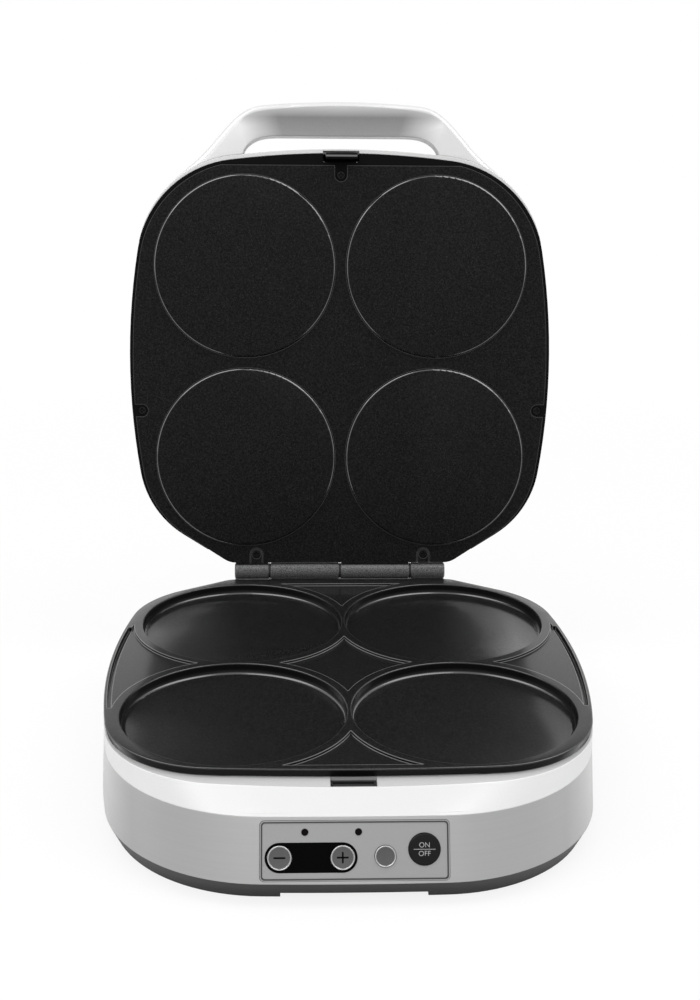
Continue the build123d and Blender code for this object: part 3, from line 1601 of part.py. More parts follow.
with BuildPart() as lid_cover:
    add(lid_dome(0))
    add(lid_dome(cover_wall), mode=Mode.SUBTRACT)
    with BuildSketch(over_plate):
        with Locations(*side_screws, *rear_screws):
            Circle(lid_post_radius)
    extrude(amount=lid_post_top - lid_gap - plate_edge)
    with BuildSketch(over_plate):
        with Locations(front_screw):
            Circle(lid_post_radius)
    extrude(amount=cover_height - cover_wall / 2 - lid_gap - plate_edge)
    with BuildSketch(over_plate):
        with Locations(*lid_screws):
            Circle(screw_radius + thread_gap)
    extrude(amount=lid_screw_length, mode=Mode.SUBTRACT)
    # Flat pads for the handle's screws
    with BuildSketch(lid_deck.offset(pad_low)):
        with Locations(
            (-(pad_inner + pad_outer) / 2, -(pad_seat + pad_front) / 2),
            ((pad_inner + pad_outer) / 2, -(pad_seat + pad_front) / 2),
        ):
            Rectangle(pad_outer - pad_inner, pad_front - pad_seat)
    extrude(amount=pad_high - pad_low)
    with BuildSketch(handle_screw_plane):
        with Locations(*handle_screw_spots):
            Circle(screw_radius + hole_gap)
    extrude(amount=-handle_screw_length, mode=Mode.SUBTRACT)
    with BuildSketch(lid_deck.offset(lid_gap)):
        add(frame_plan(frame_fit))
    extrude(amount=frame_thickness, mode=Mode.SUBTRACT)
    with BuildSketch(lid_deck.offset(lid_gap)):
        add(lid_plate_plan(frame_fit))
    extrude(amount=plate_edge, mode=Mode.SUBTRACT)
    with BuildSketch(lid_deck.offset(lid_gap)):
        with Locations((0, -recess_front + slot_half)):
            Rectangle(2 * slot_half, 2 * slot_half)
    extrude(amount=recess_height - lid_gap, mode=Mode.SUBTRACT)
lid_cover.part.label = "lid_cover"
export_step(lid_cover.part, "parts/lid_cover.step")

# Handle: a moulded arch that grows out of the lid's front corners
scoop_plane = Plane(
    origin=lid_deck.from_local_coords(
        (0, -lid_front - scoop_y, handle_low - scoop_radius + scoop_depth)
    ),
    x_dir=lid_deck.x_dir,
    z_dir=-lid_deck.y_dir,
)

with BuildPart() as handle:
    with BuildSketch(lid_deck.offset(handle_low)):
        with BuildLine():
            flank = Spline(
                flip(handle_root),
                flip(handle_waist),
                flip(handle_flank),
                flip(handle_shoulder),
                flip(handle_front_mid),
                tangents=(handle_root_slope, (-1, -handle_tip_slope)),
            )
            mirror(flank, about=Plane.YZ)
            ThreePointArc(
                flip(handle_front_mid), flip((0, handle_front)), flip(handle_front_mid, -1)
            )
            Polyline(flip(handle_root), flip(handle_end), flip(handle_end, -1), flip(handle_root, -1))
        make_face()
        with BuildLine():
            corner = Spline(
                flip((grip_half, grip_side)),
                flip(grip_corner),
                flip((grip_flat_half, grip_front)),
                tangents=((0, -1), (-1, 0)),
            )
            mirror(corner, about=Plane.YZ)
            Line(flip((grip_flat_half, grip_front)), flip((grip_flat_half, grip_front), -1))
            Line(flip((grip_half, grip_side)), flip((grip_half, grip_side), -1))
        make_face(mode=Mode.SUBTRACT)
        add(lid_plan(slide_gap), mode=Mode.SUBTRACT)
    extrude(amount=handle_high - handle_low)
    outer_edges = handle.edges().filter_by(
        lambda e: (e.center() - lid_deck.origin).dot(lid_deck.y_dir)
        < handle_round - lid_front - handle_front_mid[1]
        or e.length > handle_front_mid[0] * 2
    )
    fillet(outer_edges.filter_by(GeomType.LINE, reverse=True), handle_round)
    # A long shallow scoop for the fingers, deepest in the middle
    with BuildSketch(scoop_plane):
        with BuildLine():
            ThreePointArc(
                (-scoop_half, scoop_radius - scoop_depth),
                (0, scoop_radius),
                (scoop_half, scoop_radius - scoop_depth),
            )
            Polyline(
                (scoop_half, scoop_radius - scoop_depth),
                (scoop_half, 0),
                (-scoop_half, 0),
                (-scoop_half, scoop_radius - scoop_depth),
            )
        make_face()
    revolve(axis=Axis(scoop_plane.origin, scoop_plane.x_dir), mode=Mode.SUBTRACT)
    with BuildSketch(handle_screw_plane):
        with Locations(*handle_screw_spots):
            Circle(screw_radius + thread_gap)
    extrude(amount=-handle_screw_length - hole_gap, mode=Mode.SUBTRACT)
handle.part.label = "handle"
export_step(handle.part, "parts/handle.step")

with BuildPart() as handle_screws:
    add(screws(handle_screw_plane, handle_screw_spots, handle_screw_length))
handle_screws.part.label = "handle_screws"
export_step(handle_screws.part, "parts/handle_screws.step")

# Latch: a sprung hook that reaches down through the frame and under the catch's bar
hook_foot = catch_drop + catch_radius + hook_gap
hook_back = hook_front - hook_thickness
hook_tip = hook_back - hook_tooth_reach

with BuildPart() as latch_hook:
    with BuildSketch(lid_side.offset(-hook_half)):
        with BuildLine():
            Polyline(
                (-hook_front, hook_pivot_height),
                (-hook_front, -hook_foot - hook_tooth_height - hook_tooth_slope),
                (-hook_front + hook_toe, -hook_foot - hook_tooth_height - hook_tooth_slope),
                (-hook_tip, -hook_foot - hook_tooth_height),
                (-hook_tip, -hook_foot),
                (-hook_back, -hook_foot),
                (-hook_back, hook_pivot_height),
                close=True,
            )
        make_face()
        with Locations((-hook_pivot_y, hook_pivot_height)):
            Circle(hook_hub_radius)
        with Locations((-hook_pivot_y, hook_pivot_height + hook_tail / 2)):
            Rectangle(hook_thickness, hook_tail)
        with Locations((-(hook_pivot_y + hook_front) / 2, hook_pivot_height)):
            Rectangle(hook_front - hook_pivot_y, hook_hub_radius)
        with Locations((-hook_pivot_y, hook_pivot_height)):
            Circle(latch_pin_radius + running_gap, mode=Mode.SUBTRACT)
    extrude(amount=2 * hook_half)
latch_hook.part.label = "latch_hook"
export_step(latch_hook.part, "parts/latch_hook.step")

with BuildPart() as latch_pin:
    with BuildSketch(lid_side.offset(-slot_half - ear_thickness)):
        with Locations((-hook_pivot_y, hook_pivot_height)):
            Circle(latch_pin_radius)
    extrude(amount=2 * (slot_half + ear_thickness))
latch_pin.part.label = "latch_pin"
export_step(latch_pin.part, "parts/latch_pin.step")

spring_seat = lid_gap + plate_edge + frame_flange
spring_top = hook_pivot_height + hook_tail

with BuildPart() as latch_spring:
    with BuildSketch(lid_side.offset(-spring_half)):
        with BuildLine():
            Polyline(
                (-spring_foot, spring_seat),
                (-spring_foot, spring_seat + spring_thickness),
                (-spring_back, spring_seat + spring_thickness),
                (-spring_back, spring_top - hook_thickness),
                (-spring_tip + spring_thickness, spring_top),
                (-spring_tip, spring_top),
                (-spring_back - spring_thickness, spring_top - hook_thickness),
                (-spring_back - spring_thickness, spring_seat),
                close=True,
            )
        make_face()
    extrude(amount=2 * spring_half)
latch_spring.part.label = "latch_spring"
export_step(latch_spring.part, "parts/latch_spring.step")
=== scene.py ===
"""Finishes, dressing pieces, camera and stage for the four-pan crepe maker.

Metres. The frame has +Z up and the control panel facing -Y. The lid's own directions are those that
it has when it is shut, turned up by the hinge.
"""
import json
import math

import bpy
import numpy as np
from bpy.props import FloatProperty, FloatVectorProperty, PointerProperty
from mathutils import Matrix, Vector


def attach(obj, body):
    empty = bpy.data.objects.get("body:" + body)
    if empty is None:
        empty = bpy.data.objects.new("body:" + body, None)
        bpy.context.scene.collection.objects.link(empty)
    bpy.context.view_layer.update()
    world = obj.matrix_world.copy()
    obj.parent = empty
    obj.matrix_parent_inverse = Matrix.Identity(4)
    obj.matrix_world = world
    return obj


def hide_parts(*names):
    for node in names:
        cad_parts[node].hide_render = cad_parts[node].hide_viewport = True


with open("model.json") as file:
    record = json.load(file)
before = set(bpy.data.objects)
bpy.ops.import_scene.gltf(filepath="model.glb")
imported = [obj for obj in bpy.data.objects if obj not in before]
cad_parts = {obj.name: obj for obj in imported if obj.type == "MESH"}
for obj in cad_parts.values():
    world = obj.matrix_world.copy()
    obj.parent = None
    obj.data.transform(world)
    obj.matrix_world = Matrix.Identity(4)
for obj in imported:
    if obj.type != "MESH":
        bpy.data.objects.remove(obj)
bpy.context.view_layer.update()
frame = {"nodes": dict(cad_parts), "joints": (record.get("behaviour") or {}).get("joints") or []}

bl_info = {
    "name": "Crepe maker dressing",
    "version": (1, 0, 0),
    "blender": (4, 5, 0),
    "location": "3D View > Sidebar > Crepe Maker",
    "description": "Finishes and small pieces for a four-pan crepe maker",
    "category": "Object",
}

UP = (0.0, 0.0, 1.0)

# The hinge, the lid's directions as it stands open, and the lid's origin: on the shut lid, the
# hinge lies this far behind it and above it
OPEN_ANGLE = math.radians(100.4)
HINGE = np.array((0.0, 0.108368, 0.0574))
HINGE_BACK = 0.1362
HINGE_RISE = 0.0039
LID_X = np.array((1.0, 0.0, 0.0))
LID_Y = np.array((0.0, math.cos(OPEN_ANGLE), -math.sin(OPEN_ANGLE)))
LID_Z = np.array((0.0, math.sin(OPEN_ANGLE), math.cos(OPEN_ANGLE)))
LID_ORIGIN = HINGE - HINGE_BACK * LID_Y - HINGE_RISE * LID_Z

# Washers on the hinge pin, in the gaps between its barrels
BARREL_GAPS = (-0.046, 0.0, 0.046)
WASHER_BORE = 0.0021
WASHER_RADIUS = 0.0052
WASHER_THICKNESS = 0.0004

# Lid screws: their places from the lid's origin, how deep their faces lie, and the sizes of one
LID_SCREWS = (
    (0.0, -0.1183), (-0.1275, 0.0308), (0.1275, 0.0308), (-0.0546, 0.1248), (0.0546, 0.1248),
)
LID_SCREW_FACE = 0.00095
SCREW_LENGTH = 0.0151
SHANK_RADIUS = 0.0015
HEAD_RADIUS = 0.0026
HEAD_THICKNESS = 0.0011
HEAD_SIDE = 0.0003
HEAD_DOME = 0.0002
CROSS_DEPTH = 0.0009
CROSS_REACH = 0.0015
CROSS_HALF_WIDTH = 0.00042
CROSS_SOFT_END = 0.00025
CROSS_SOFT_SIDE = 0.00016

# Where the ramp over the hook starts, above the table
HOOK_RAMP_START = 0.3100

# The panel's corners, how its buttons stand out of it and are held behind it, and how far under a
# button's top the points of its face may lie
PANEL_ROUND = 0.0024
PANEL_THICKNESS = 0.0022
WINDOW_FLANGE = 0.0010
BUTTON_STAND = 0.0009
BUTTON_CHAMFER = 0.0005
BUTTON_FLANGE = 0.0010
STEM_RADIUS = 0.0020
FACE_LAYER = 0.0002

# The bright buttons' rims and hollow faces, and the bars of their signs
RIM_WIDTH = 0.00030
RIM_HEIGHT = 0.00045
RIM_SIDE = 0.0012
FACE_HOLLOW = 0.00012
SIGN_BAR = (0.0058, 0.00085)
SIGN_UPRIGHT = (0.0054, 0.00085)

# The start button's rounded edge and dome, and the marks on it
START_ROUND = 0.0006
START_DOME = 0.00025
WORD_SIZE = 0.0034
ON_HEIGHT = 0.0019
OFF_HEIGHT = -0.0021
START_LINE = (0.0105, 0.00030)
START_MARK_SINK = 0.00003

# New pieces and the plates are shaded smooth up to these angles, in degrees
CORNER_CREASE = 50
PLATE_CREASE = 38

# Camera: its place, its turn to the right, its tilt upwards, its roll, and its lens
CAMERA_SPOT = (-0.0260, -0.792732, 0.4016)
CAMERA_YAW = math.radians(2.05)
CAMERA_PITCH = math.radians(-18.14)
CAMERA_ROLL = math.radians(0.60)
CAMERA_LENS = 52.74
SENSOR_WIDTH = 36.0

# Lamps: name, place, height of the point over the middle that it faces, size, and power setting
LAMPS = (
    ("left_key", (-0.65, 0.0, 1.25), 0.10, (0.7, 1.0), "key_power"),
    ("right_key", (0.65, 0.0, 1.25), 0.10, (0.7, 1.0), "key_power"),
    ("front_light", (-0.30, -1.25, 1.15), 0.10, (1.2, 0.5), "front_power"),
    ("left_light", (-1.45, 0.15, 0.65), 0.12, (0.9, 1.2), "side_power"),
    ("right_light", (1.45, 0.15, 0.65), 0.12, (0.9, 1.2), "side_power"),
)

# The floor is a disc with a sloping rim
FLOOR_RADIUS = 6.0
FLOOR_RIM = 0.1
FLOOR_TOP = -0.0001
FLOOR_UNDERSIDE = -0.01


# Shader building

class Wire:
    """A socket with arithmetic: each operation adds one Math node to the recipe."""

    def __init__(self, recipe, socket):
        self.recipe = recipe
        self.socket = socket

    def _math(self, operation, *terms):
        return self.recipe.node("ShaderNodeMath", {"operation": operation}, dict(enumerate(terms)))

    def __add__(self, other):
        return self._math("ADD", self, other)

    def __sub__(self, other):
        return self._math("SUBTRACT", self, other)

    def __mul__(self, other):
        return self._math("MULTIPLY", self, other)

    def __rsub__(self, other):
        return self._math("SUBTRACT", other, self)

    def __abs__(self):
        return self._math("ABSOLUTE", self)

    __radd__ = __add__
    __rmul__ = __mul__


class Recipe:
    """One material or world, built node by node. Its lengths are metres in object coordinates."""

    def __init__(self, name, kind="materials"):
        self.owner = getattr(bpy.data, kind).new(name)
        self.owner.use_nodes = True
        self.tree = self.owner.node_tree
        self.tree.nodes.clear()

    def node(self, kind, settings=None, sockets=None, out=0):
        """Adds a node: its settings and ramp stops, then the values or links of its sockets."""
        made = self.tree.nodes.new(kind)
        for key, value in (settings or {}).items():
            if key == "stops":
                ramp = made.color_ramp
                for index, (place, level) in enumerate(value):
                    stop = ramp.elements[index] if index < 2 else ramp.elements.new(place)
                    stop.position = place
                    stop.color = (level, level, level, 1.0)
            else:
                setattr(made, key, value)
        for key, value in (sockets or {}).items():
            if isinstance(value, Wire):
                self.tree.links.new(value.socket, made.inputs[key])
            else:
                made.inputs[key].default_value = value
        return Wire(self, made.outputs[out]) if made.outputs else None

    def vector(self, operation, first, second=(0.0, 0.0, 0.0), out=0):
        """One vector operation, with zeros where it is given no second vector."""
        settings = {"operation": operation}
        return self.node("ShaderNodeVectorMath", settings, {0: first, 1: second}, out)

    def dot(self, first, second):
        """The sum of the products of two vectors' parts; the second may be a plain direction."""
        second = second if isinstance(second, Wire) else tuple(second)
        return self.vector("DOT_PRODUCT", first, second, "Value")

    def greatest(self, first, *others):
        """The greatest of several values."""
        for other in others:
            first = self.node("ShaderNodeMath", {"operation": "MAXIMUM"}, {0: first, 1: other})
        return first

    def mix(self, factor, first, second):
        """From the first colour to the second as the factor goes from 0 to 1.

        A Mix node has its colours in sockets 6 and 7, and the mixed colour in output 2.
        """
        settings = {"data_type": "RGBA"}
        return self.node("ShaderNodeMix", settings, {0: factor, 6: first, 7: second}, 2)

    def ramp(self, factor, *stops):
        """Straight lines through the stops, each a factor from 0 to 1 and its value."""
        return self.node("ShaderNodeValToRGB", {"stops": stops}, {"Fac": factor})

    def spot(self):
        """Object coordinates."""
        return self.node("ShaderNodeTexCoord", out="Object")

    def stretched(self, scale):
        """Object coordinates times a scale for each direction."""
        return self.node("ShaderNodeMapping", sockets={"Vector": self.spot(), "Scale": scale})

    def along(self, direction):
        """How far the spot lies in a direction."""
        return self.dot(self.spot(), direction)

    def facing(self, direction):
        """The cosine between the surface's smooth normal and a direction."""
        return self.dot(self.node("ShaderNodeTexCoord", out="Normal"), direction)

    def slope(self, level):
        """From 0 on faces that lie along a plane to 1 on those that stand up from it.

        It is 1 less the square of the cosine between the surface's normal and the plane's.
        """
        cosine = self.facing(level)
        return 1.0 - cosine * cosine

    def turned_away(self, *stops):
        """A ramp over how far the surface turns from the line of sight, for sheen and gloss."""
        weight = self.node("ShaderNodeLayerWeight", sockets={"Blend": 0.5}, out="Facing")
        return self.ramp(weight, *stops)

    def noise(self, scale, detail=2.0, where=None, rough=0.5):
        """Smooth noise from 0 to 1, with about that many swells to a metre."""
        return self.node("ShaderNodeTexNoise", sockets={
            "Vector": where or self.spot(), "Scale": scale, "Detail": detail, "Roughness": rough,
        })

    def cells(self, scale):
        """Distance to the nearest of many scattered points."""
        sockets = {"Vector": self.spot(), "Scale": scale}
        return self.node("ShaderNodeTexVoronoi", sockets=sockets, out="Distance")

    def soft_edges(self, radius):
        """The normal as if every edge were rounded by the radius."""
        return self.node("ShaderNodeBevel", {"samples": 8}, {"Radius": radius})

    def edges(self, radius):
        """From 0 on a flat face to about 1 at an edge.

        It is 1 less the dot product of the rounded normal and the real one.
        """
        plain = self.node("ShaderNodeNewGeometry", out="Normal")
        return 1.0 - self.dot(self.soft_edges(radius), plain)

    def bump(self, height, depth, strength, over):
        """The normal over, tilted by a height pattern of that depth."""
        return self.node("ShaderNodeBump", sockets={
            "Height": height, "Distance": depth, "Strength": strength, "Normal": over,
        })

    def finish(self, sockets):
        """Closes the material with one Principled shader."""
        shader = self.node("ShaderNodeBsdfPrincipled", sockets=sockets)
        self.node("ShaderNodeOutputMaterial", sockets={"Surface": shader})
        return self.owner


def tone(level, warm=0.0):
    """A grey of that linear level, a little warmer for a positive second value."""
    return (level * (1 + warm), level, level * (1 - warm), 1.0)


def scaled(color, share):
    """A colour times a share."""
    return (*(share * part for part in color[:3]), 1.0)


def cooking_coat(settings, name, level, shine, reach, wear_and_highlight, density):
    """Matt black coating with a fine pale speckle, glossier on edges, slopes and seen at a slant.

    level is the plate's own upright direction, which tells flat faces from sloping ones, and shine
    is the reflection of the flat faces. Sloping and upright faces are darkened as a painted shade.
    An edge's gloss goes as far as reach, with a paler tone by the share worn, partly wear and
    partly a painted highlight, and density is the clear top coat's refraction. The hinge barrels,
    which lie within 5.4 mm of the axis, get a paler grainy tone that is a painted sheen.
    """
    r = Recipe(name)
    size = 1 / settings.speckle_size
    specks = r.ramp(r.cells(size * 1.25), (0.14, 1.0), (0.38, 0.0))
    patches = r.ramp(r.noise(size * 0.6, 1.0), (0.42, 0.0), (0.60, 1.0))
    grain = r.ramp(r.noise(size * 0.85, 1.0), (0.36, 0.0), (0.64, 1.0))
    cloud = r.noise(22.0, 3.0)
    pebble = r.noise(size * 1.6, 2.0)
    edge_wear_and_highlight = r.ramp(r.edges(reach), (0.004, 0.0), (0.06, 1.0))
    tilt = r.slope(level)
    sloping = r.ramp(tilt, (0.10, 0.0), (0.24, 1.0), (0.46, 1.0), (0.64, 0.0))
    glancing = r.turned_away((0.46, 0.0), (0.66, 0.85), (0.72, 0.50), (0.80, 0.0))
    across = r.vector("MULTIPLY", r.spot(), (0.0, 1.0, 1.0))
    from_axis = r.vector("DISTANCE", across, tuple(HINGE), "Value")
    barrel = r.ramp(from_axis * 100.0, (0.535, 1.0), (0.545, 0.0))
    gloss = r.greatest(edge_wear_and_highlight * (0.25 + 0.75 * wear_and_highlight), sloping, glancing)
    base = r.mix(cloud * 0.4, r.mix(grain, tone(0.0018), tone(0.0110)), tone(0.0040))
    coat = r.mix(specks * patches * 0.35, base, tone(0.080))
    # Sloping and upright faces, such as the pans' walls, are darkened: a painted shade
    coat = r.mix(tilt * 0.85, coat, tone(0.0014))
    coarse = r.ramp(r.noise(size * 1.5, 1.0), (0.36, 0.0), (0.64, 1.0))
    # The barrels' paler grainy tone stands in for their broad reflection: a painted sheen
    barrel_sheen = r.mix(coarse, tone(0.050), tone(0.165))
    return r.finish({
        # Edges turn paler, partly as wear and partly as a painted highlight
        "Base Color": r.mix(barrel, r.mix(edge_wear_and_highlight * wear_and_highlight, coat, tone(0.26)), barrel_sheen),
        "Roughness": settings.coat_roughness + 0.10 * cloud + 0.06 * pebble,
        "Normal": r.bump(pebble, 0.00005, 0.45, r.soft_edges(reach)),
        "Coat Weight": gloss * (1.0 - 0.6 * barrel), "Coat Roughness": 0.15, "Coat IOR": density,
        "Specular IOR Level": shine,
    })


def brushed_wall(settings):
    """Stainless sheet, brushed along its length and paler where it turns away."""
    r = Recipe("brushed_wall")
    fine = r.noise(1.0, 3.0, r.stretched((26.0, 26.0, 5200.0)), 0.6)
    long = r.noise(1.0, 2.0, r.stretched((7.0, 7.0, 900.0)))
    cloud = r.noise(9.0, 2.0)
    low, high = scaled(settings.wall_tone, 0.93), scaled(settings.wall_tone, 1.08)
    color = r.mix(0.6 * fine + 0.4 * long, low, high)
    sheen = r.turned_away((0.42, 0.0), (0.80, 0.42))
    return r.finish({
        "Base Color": r.mix(sheen, color, tone(0.90)), "Metallic": 1.0,
        "Roughness": 0.30 + 0.08 * fine + 0.05 * cloud,
        "Normal": r.bump(fine, 0.00002, 0.35, r.soft_edges(0.0003)),
    })


def silver_paint(name, level, rough, metal, edge=0.0006):
    """Moulded plastic under a fine metallic paint."""
    r = Recipe(name)
    flake = r.noise(2600.0, 1.0)
    cloud = r.noise(12.0, 2.0)
    return r.finish({
        "Base Color": r.mix(flake, tone(level * 0.95), tone(level * 1.05)), "Metallic": metal,
        "Roughness": rough + 0.05 * cloud + 0.03 * flake,
        "Normal": r.bump(r.noise(900.0, 2.0), 0.00002, 0.25, r.soft_edges(edge)),
    })


def moulded(name, color, rough, grain=0.00003, fixed=None):
    """Moulded or dull surface with a fine grain and slightly uneven colour.

    fixed holds the sockets that are the same all over.
    """
    r = Recipe(name)
    return r.finish({
        "Base Color": r.mix(r.noise(30.0, 3.0), scaled(color, 0.88), scaled(color, 1.10)),
        "Roughness": rough + 0.08 * r.noise(220.0, 2.0),
        "Normal": r.bump(r.noise(1400.0, 2.0), grain, 0.5, r.soft_edges(0.0004)),
        **(fixed or {}),
    })


def hook_black():
    """Black plastic with a painted highlight: a pale line along the nose of the hook.

    The pale line lies 320.6 to 322.1 mm above the table, with a soft side of 0.5 mm each way, and
    the hook's top is at 323.1 mm. The ramp counts tenths of a metre from 310 mm.
    """
    r = Recipe("hook_black")
    height = (r.along(UP) - HOOK_RAMP_START) * 10.0
    line = r.ramp(height, (0.106, 0.0), (0.111, 1.0), (0.116, 1.0), (0.121, 0.0))
    return r.finish({
        # The pale line is a painted highlight on the hook's rounded nose
        "Base Color": r.mix(line, tone(0.004), tone(0.26)),
        "Roughness": 0.30 + 0.08 * r.noise(220.0, 2.0),
        "Normal": r.bump(r.noise(1400.0, 2.0), 0.00003, 0.5, r.soft_edges(0.0008)),
        "Specular IOR Level": 0.08,
    })


def handle_paint(level):
    """Pale silver paint, darker along the grip's lower face as a painted shade, and rougher there.

    With x across and y out from the lid's origin, the painted shade's share falls from 1 to 0 as
    |x| less 0.3 times (y less 142 mm) goes from 36 to 62 mm, and as y goes from 154 to 161 mm.
    """
    r = Recipe("handle_silver")
    outward = r.along(-LID_Y) + float(LID_ORIGIN @ LID_Y)
    under = r.ramp(r.facing(-LID_Z), (0.50, 0.0), (0.80, 1.0))
    spread = abs(r.along(LID_X)) - 0.3 * (outward - 0.142)
    ends = r.ramp(spread * 10.0, (0.36, 1.0), (0.62, 0.0))
    lip = r.ramp((outward - 0.150) * 50.0, (0.22, 1.0), (0.54, 0.0))
    # The grip's lower face is darkened as a painted shade, and made rougher and less metallic
    shaded_grip_share = ends * lip * under
    flake = r.noise(2600.0, 1.0)
    pale = r.mix(flake, tone(level * 0.96), tone(level * 1.04))
    grip_shade_tone = r.mix(r.noise(700.0, 2.0), tone(0.205), tone(0.235))
    return r.finish({
        "Base Color": r.mix(shaded_grip_share, pale, grip_shade_tone), "Metallic": 0.30 - 0.25 * shaded_grip_share,
        "Roughness": 0.34 + 0.14 * shaded_grip_share + 0.03 * flake,
        "Normal": r.bump(r.noise(900.0, 2.0), 0.00002, 0.25, r.soft_edges(0.0010)),
    })


def frame_line(axes):
    """Silver paint with a dark line along the inner part of the panel's frame.

    The line starts 0.45 mm inside the frame's outline, a rectangle with round corners. A spot's
    distance inside it is the corner's radius less the length of what |x| and |y| exceed the
    corner's centre by.
    """
    r = Recipe("frame_line")
    local = node_points("panel_frame") @ axes.T
    face = local[local[:, 2] > local[:, 2].max() - 0.0001]
    low, high = face.min(axis=0), face.max(axis=0)
    half, middle = (high - low) / 2, (high + low) / 2
    flat = r.node("ShaderNodeCombineXYZ", sockets={
        "X": r.along(axes[0]) - float(middle[0]), "Y": r.along(axes[1]) - float(middle[1]),
    })
    corner = (float(half[0]) - PANEL_ROUND, float(half[1]) - PANEL_ROUND, 0.0)
    beyond = r.vector("MAXIMUM", r.vector("SUBTRACT", r.vector("ABSOLUTE", flat), corner))
    inside = PANEL_ROUND - r.vector("LENGTH", beyond, out="Value")
    line = r.ramp(inside * 1000.0, (0.42, 0.0), (0.48, 1.0))
    flake = r.noise(2600.0, 1.0)
    silver = r.mix(flake, tone(0.31), tone(0.34))
    return r.finish({
        "Base Color": r.mix(line, silver, tone(0.050)), "Metallic": 0.25 - 0.20 * line,
        "Roughness": 0.42 + 0.03 * flake, "Normal": r.soft_edges(0.0002),
    })


def brushed_metal(name, level, rough, stretch, warm=0.0):
    """Metal with fine parallel scratches."""
    r = Recipe(name)
    lines = r.noise(1.0, 2.0, r.stretched(stretch))
    return r.finish({
        "Base Color": r.mix(lines, tone(level * 0.86, warm), tone(level * 1.10, warm)),
        "Metallic": 1.0, "Roughness": rough + 0.10 * lines,
        "Normal": r.bump(lines, 0.00001, 0.3, r.soft_edges(0.0002)),
    })


def board_green():
    """Circuit board with copper tracks faintly showing under green lacquer."""
    r = Recipe("circuit_board")
    tracks = r.ramp(r.cells(260.0), (0.44, 0.0), (0.50, 1.0))
    return r.finish({
        "Base Color": r.mix(tracks, (0.010, 0.075, 0.028, 1.0), (0.030, 0.150, 0.055, 1.0)),
        "Roughness": 0.34 + 0.1 * r.noise(90.0),
        "Normal": r.bump(tracks, 0.00003, 0.4, r.soft_edges(0.0002)),
    })


# Mesh building

def mesh_object(name, points, faces, body, materials, face_slots=None, smooth=True):
    """Puts whole arrays of points and faces into a mesh at the origin, riding on a body."""
    mesh = bpy.data.meshes.new(name)
    mesh.from_pydata(points.tolist(), [], [tuple(face) for face in faces])
    for material in materials:
        mesh.materials.append(material)
    if face_slots is not None:
        mesh.polygons.foreach_set("material_index", np.asarray(face_slots, dtype=np.int32))
    mesh.polygons.foreach_set("use_smooth", np.full(len(mesh.polygons), smooth))
    mesh.update()
    made = bpy.data.objects.new(name, mesh)
    bpy.context.scene.collection.objects.link(made)
    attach(made, body)
    return made


def crisp(made):
    """Smooth shading stops at the corners of a new piece."""
    made.modifiers.new("Corners", "EDGE_SPLIT").split_angle = math.radians(CORNER_CREASE)


def arc(middle, reach, start, end, count):
    """Points middle + (a cos t, b sin t) for even angles t and a reach of a and b."""
    turn = np.linspace(start, end, count)
    return np.asarray(middle) + np.asarray(reach) * np.column_stack([np.cos(turn), np.sin(turn)])


def turned(profile, sides, lift=None):
    """Carries a profile of radius r and height h round an axis.

    x = r cos t, y = r sin t, z = h + lift(x, y) for sides even angles t. The profile runs from the
    bottom pole up to the top one, and each pole is one point with a fan of triangles. The bottom
    pole isn't lifted. The third result counts, for each face, the profile's step that it spans.
    """
    profile = np.asarray(profile, dtype=float)
    angle = np.arange(sides) * 2 * np.pi / sides
    radius, height = profile[1:-1, 0][:, None], profile[1:-1, 1][:, None]
    x, y = radius * np.cos(angle), radius * np.sin(angle)
    z = height + (lift(x, y) if lift else 0 * x)
    poles = np.array([[0, 0, profile[0, 1]], [0, 0, profile[-1, 1]]])
    if lift:
        poles[1, 2] += float(lift(np.zeros(1), np.zeros(1))[0])
    rings = len(profile) - 2
    points = np.vstack([np.stack([x, y, z], axis=-1).reshape(-1, 3), poles])
    ring, side = np.meshgrid(np.arange(rings - 1), np.arange(sides), indexing="ij")
    after = (side + 1) % sides
    quads = np.stack([
        ring * sides + side, ring * sides + after,
        (ring + 1) * sides + after, (ring + 1) * sides + side,
    ], axis=-1).reshape(-1, 4)
    one = np.arange(sides)
    two = (one + 1) % sides
    foot = np.stack([np.full(sides, rings * sides), two, one], axis=-1)
    top = np.stack([
        np.full(sides, rings * sides + 1), (rings - 1) * sides + one, (rings - 1) * sides + two,
    ], axis=-1)
    faces = [*quads.tolist(), *foot.tolist(), *top.tolist()]
    steps = np.concatenate([ring.reshape(-1) + 1, np.zeros(sides), np.full(sides, rings)])
    return points, faces, steps.astype(int)


def washer(bore, radius, thickness, sides):
    """A flat ring round the X axis: x = +-thickness / 2, y = r cos t, z = r sin t.

    The closed profile goes out along one face and back along the other.
    """
    profile = np.array([(-1, bore), (-1, radius), (1, radius), (1, bore)])
    angle = np.arange(sides) * 2 * np.pi / sides
    along = np.repeat(profile[:, :1] * thickness / 2, sides, axis=1)
    reach = profile[:, 1:]
    points = np.stack([along, reach * np.cos(angle), reach * np.sin(angle)], axis=-1)
    ring, side = np.meshgrid(np.arange(len(profile)), np.arange(sides), indexing="ij")
    beyond, after = (ring + 1) % len(profile), (side + 1) % sides
    faces = np.stack([
        ring * sides + side, beyond * sides + side, beyond * sides + after, ring * sides + after,
    ], axis=-1)
    return points.reshape(-1, 3), faces.reshape(-1, 4).tolist()


def prism(outline, low, high):
    """A flat outline, anticlockwise, carried from one height to another, with both caps."""
    outline = np.asarray(outline, dtype=float)
    count = len(outline)
    points = np.vstack([
        np.column_stack([outline, np.full(count, height)]) for height in (low, high)
    ])
    one = np.arange(count)
    two = (one + 1) % count
    walls = np.stack([one, two, two + count, one + count], axis=-1).tolist()
    return points, [*walls, one[::-1].tolist(), (one + count).tolist()]


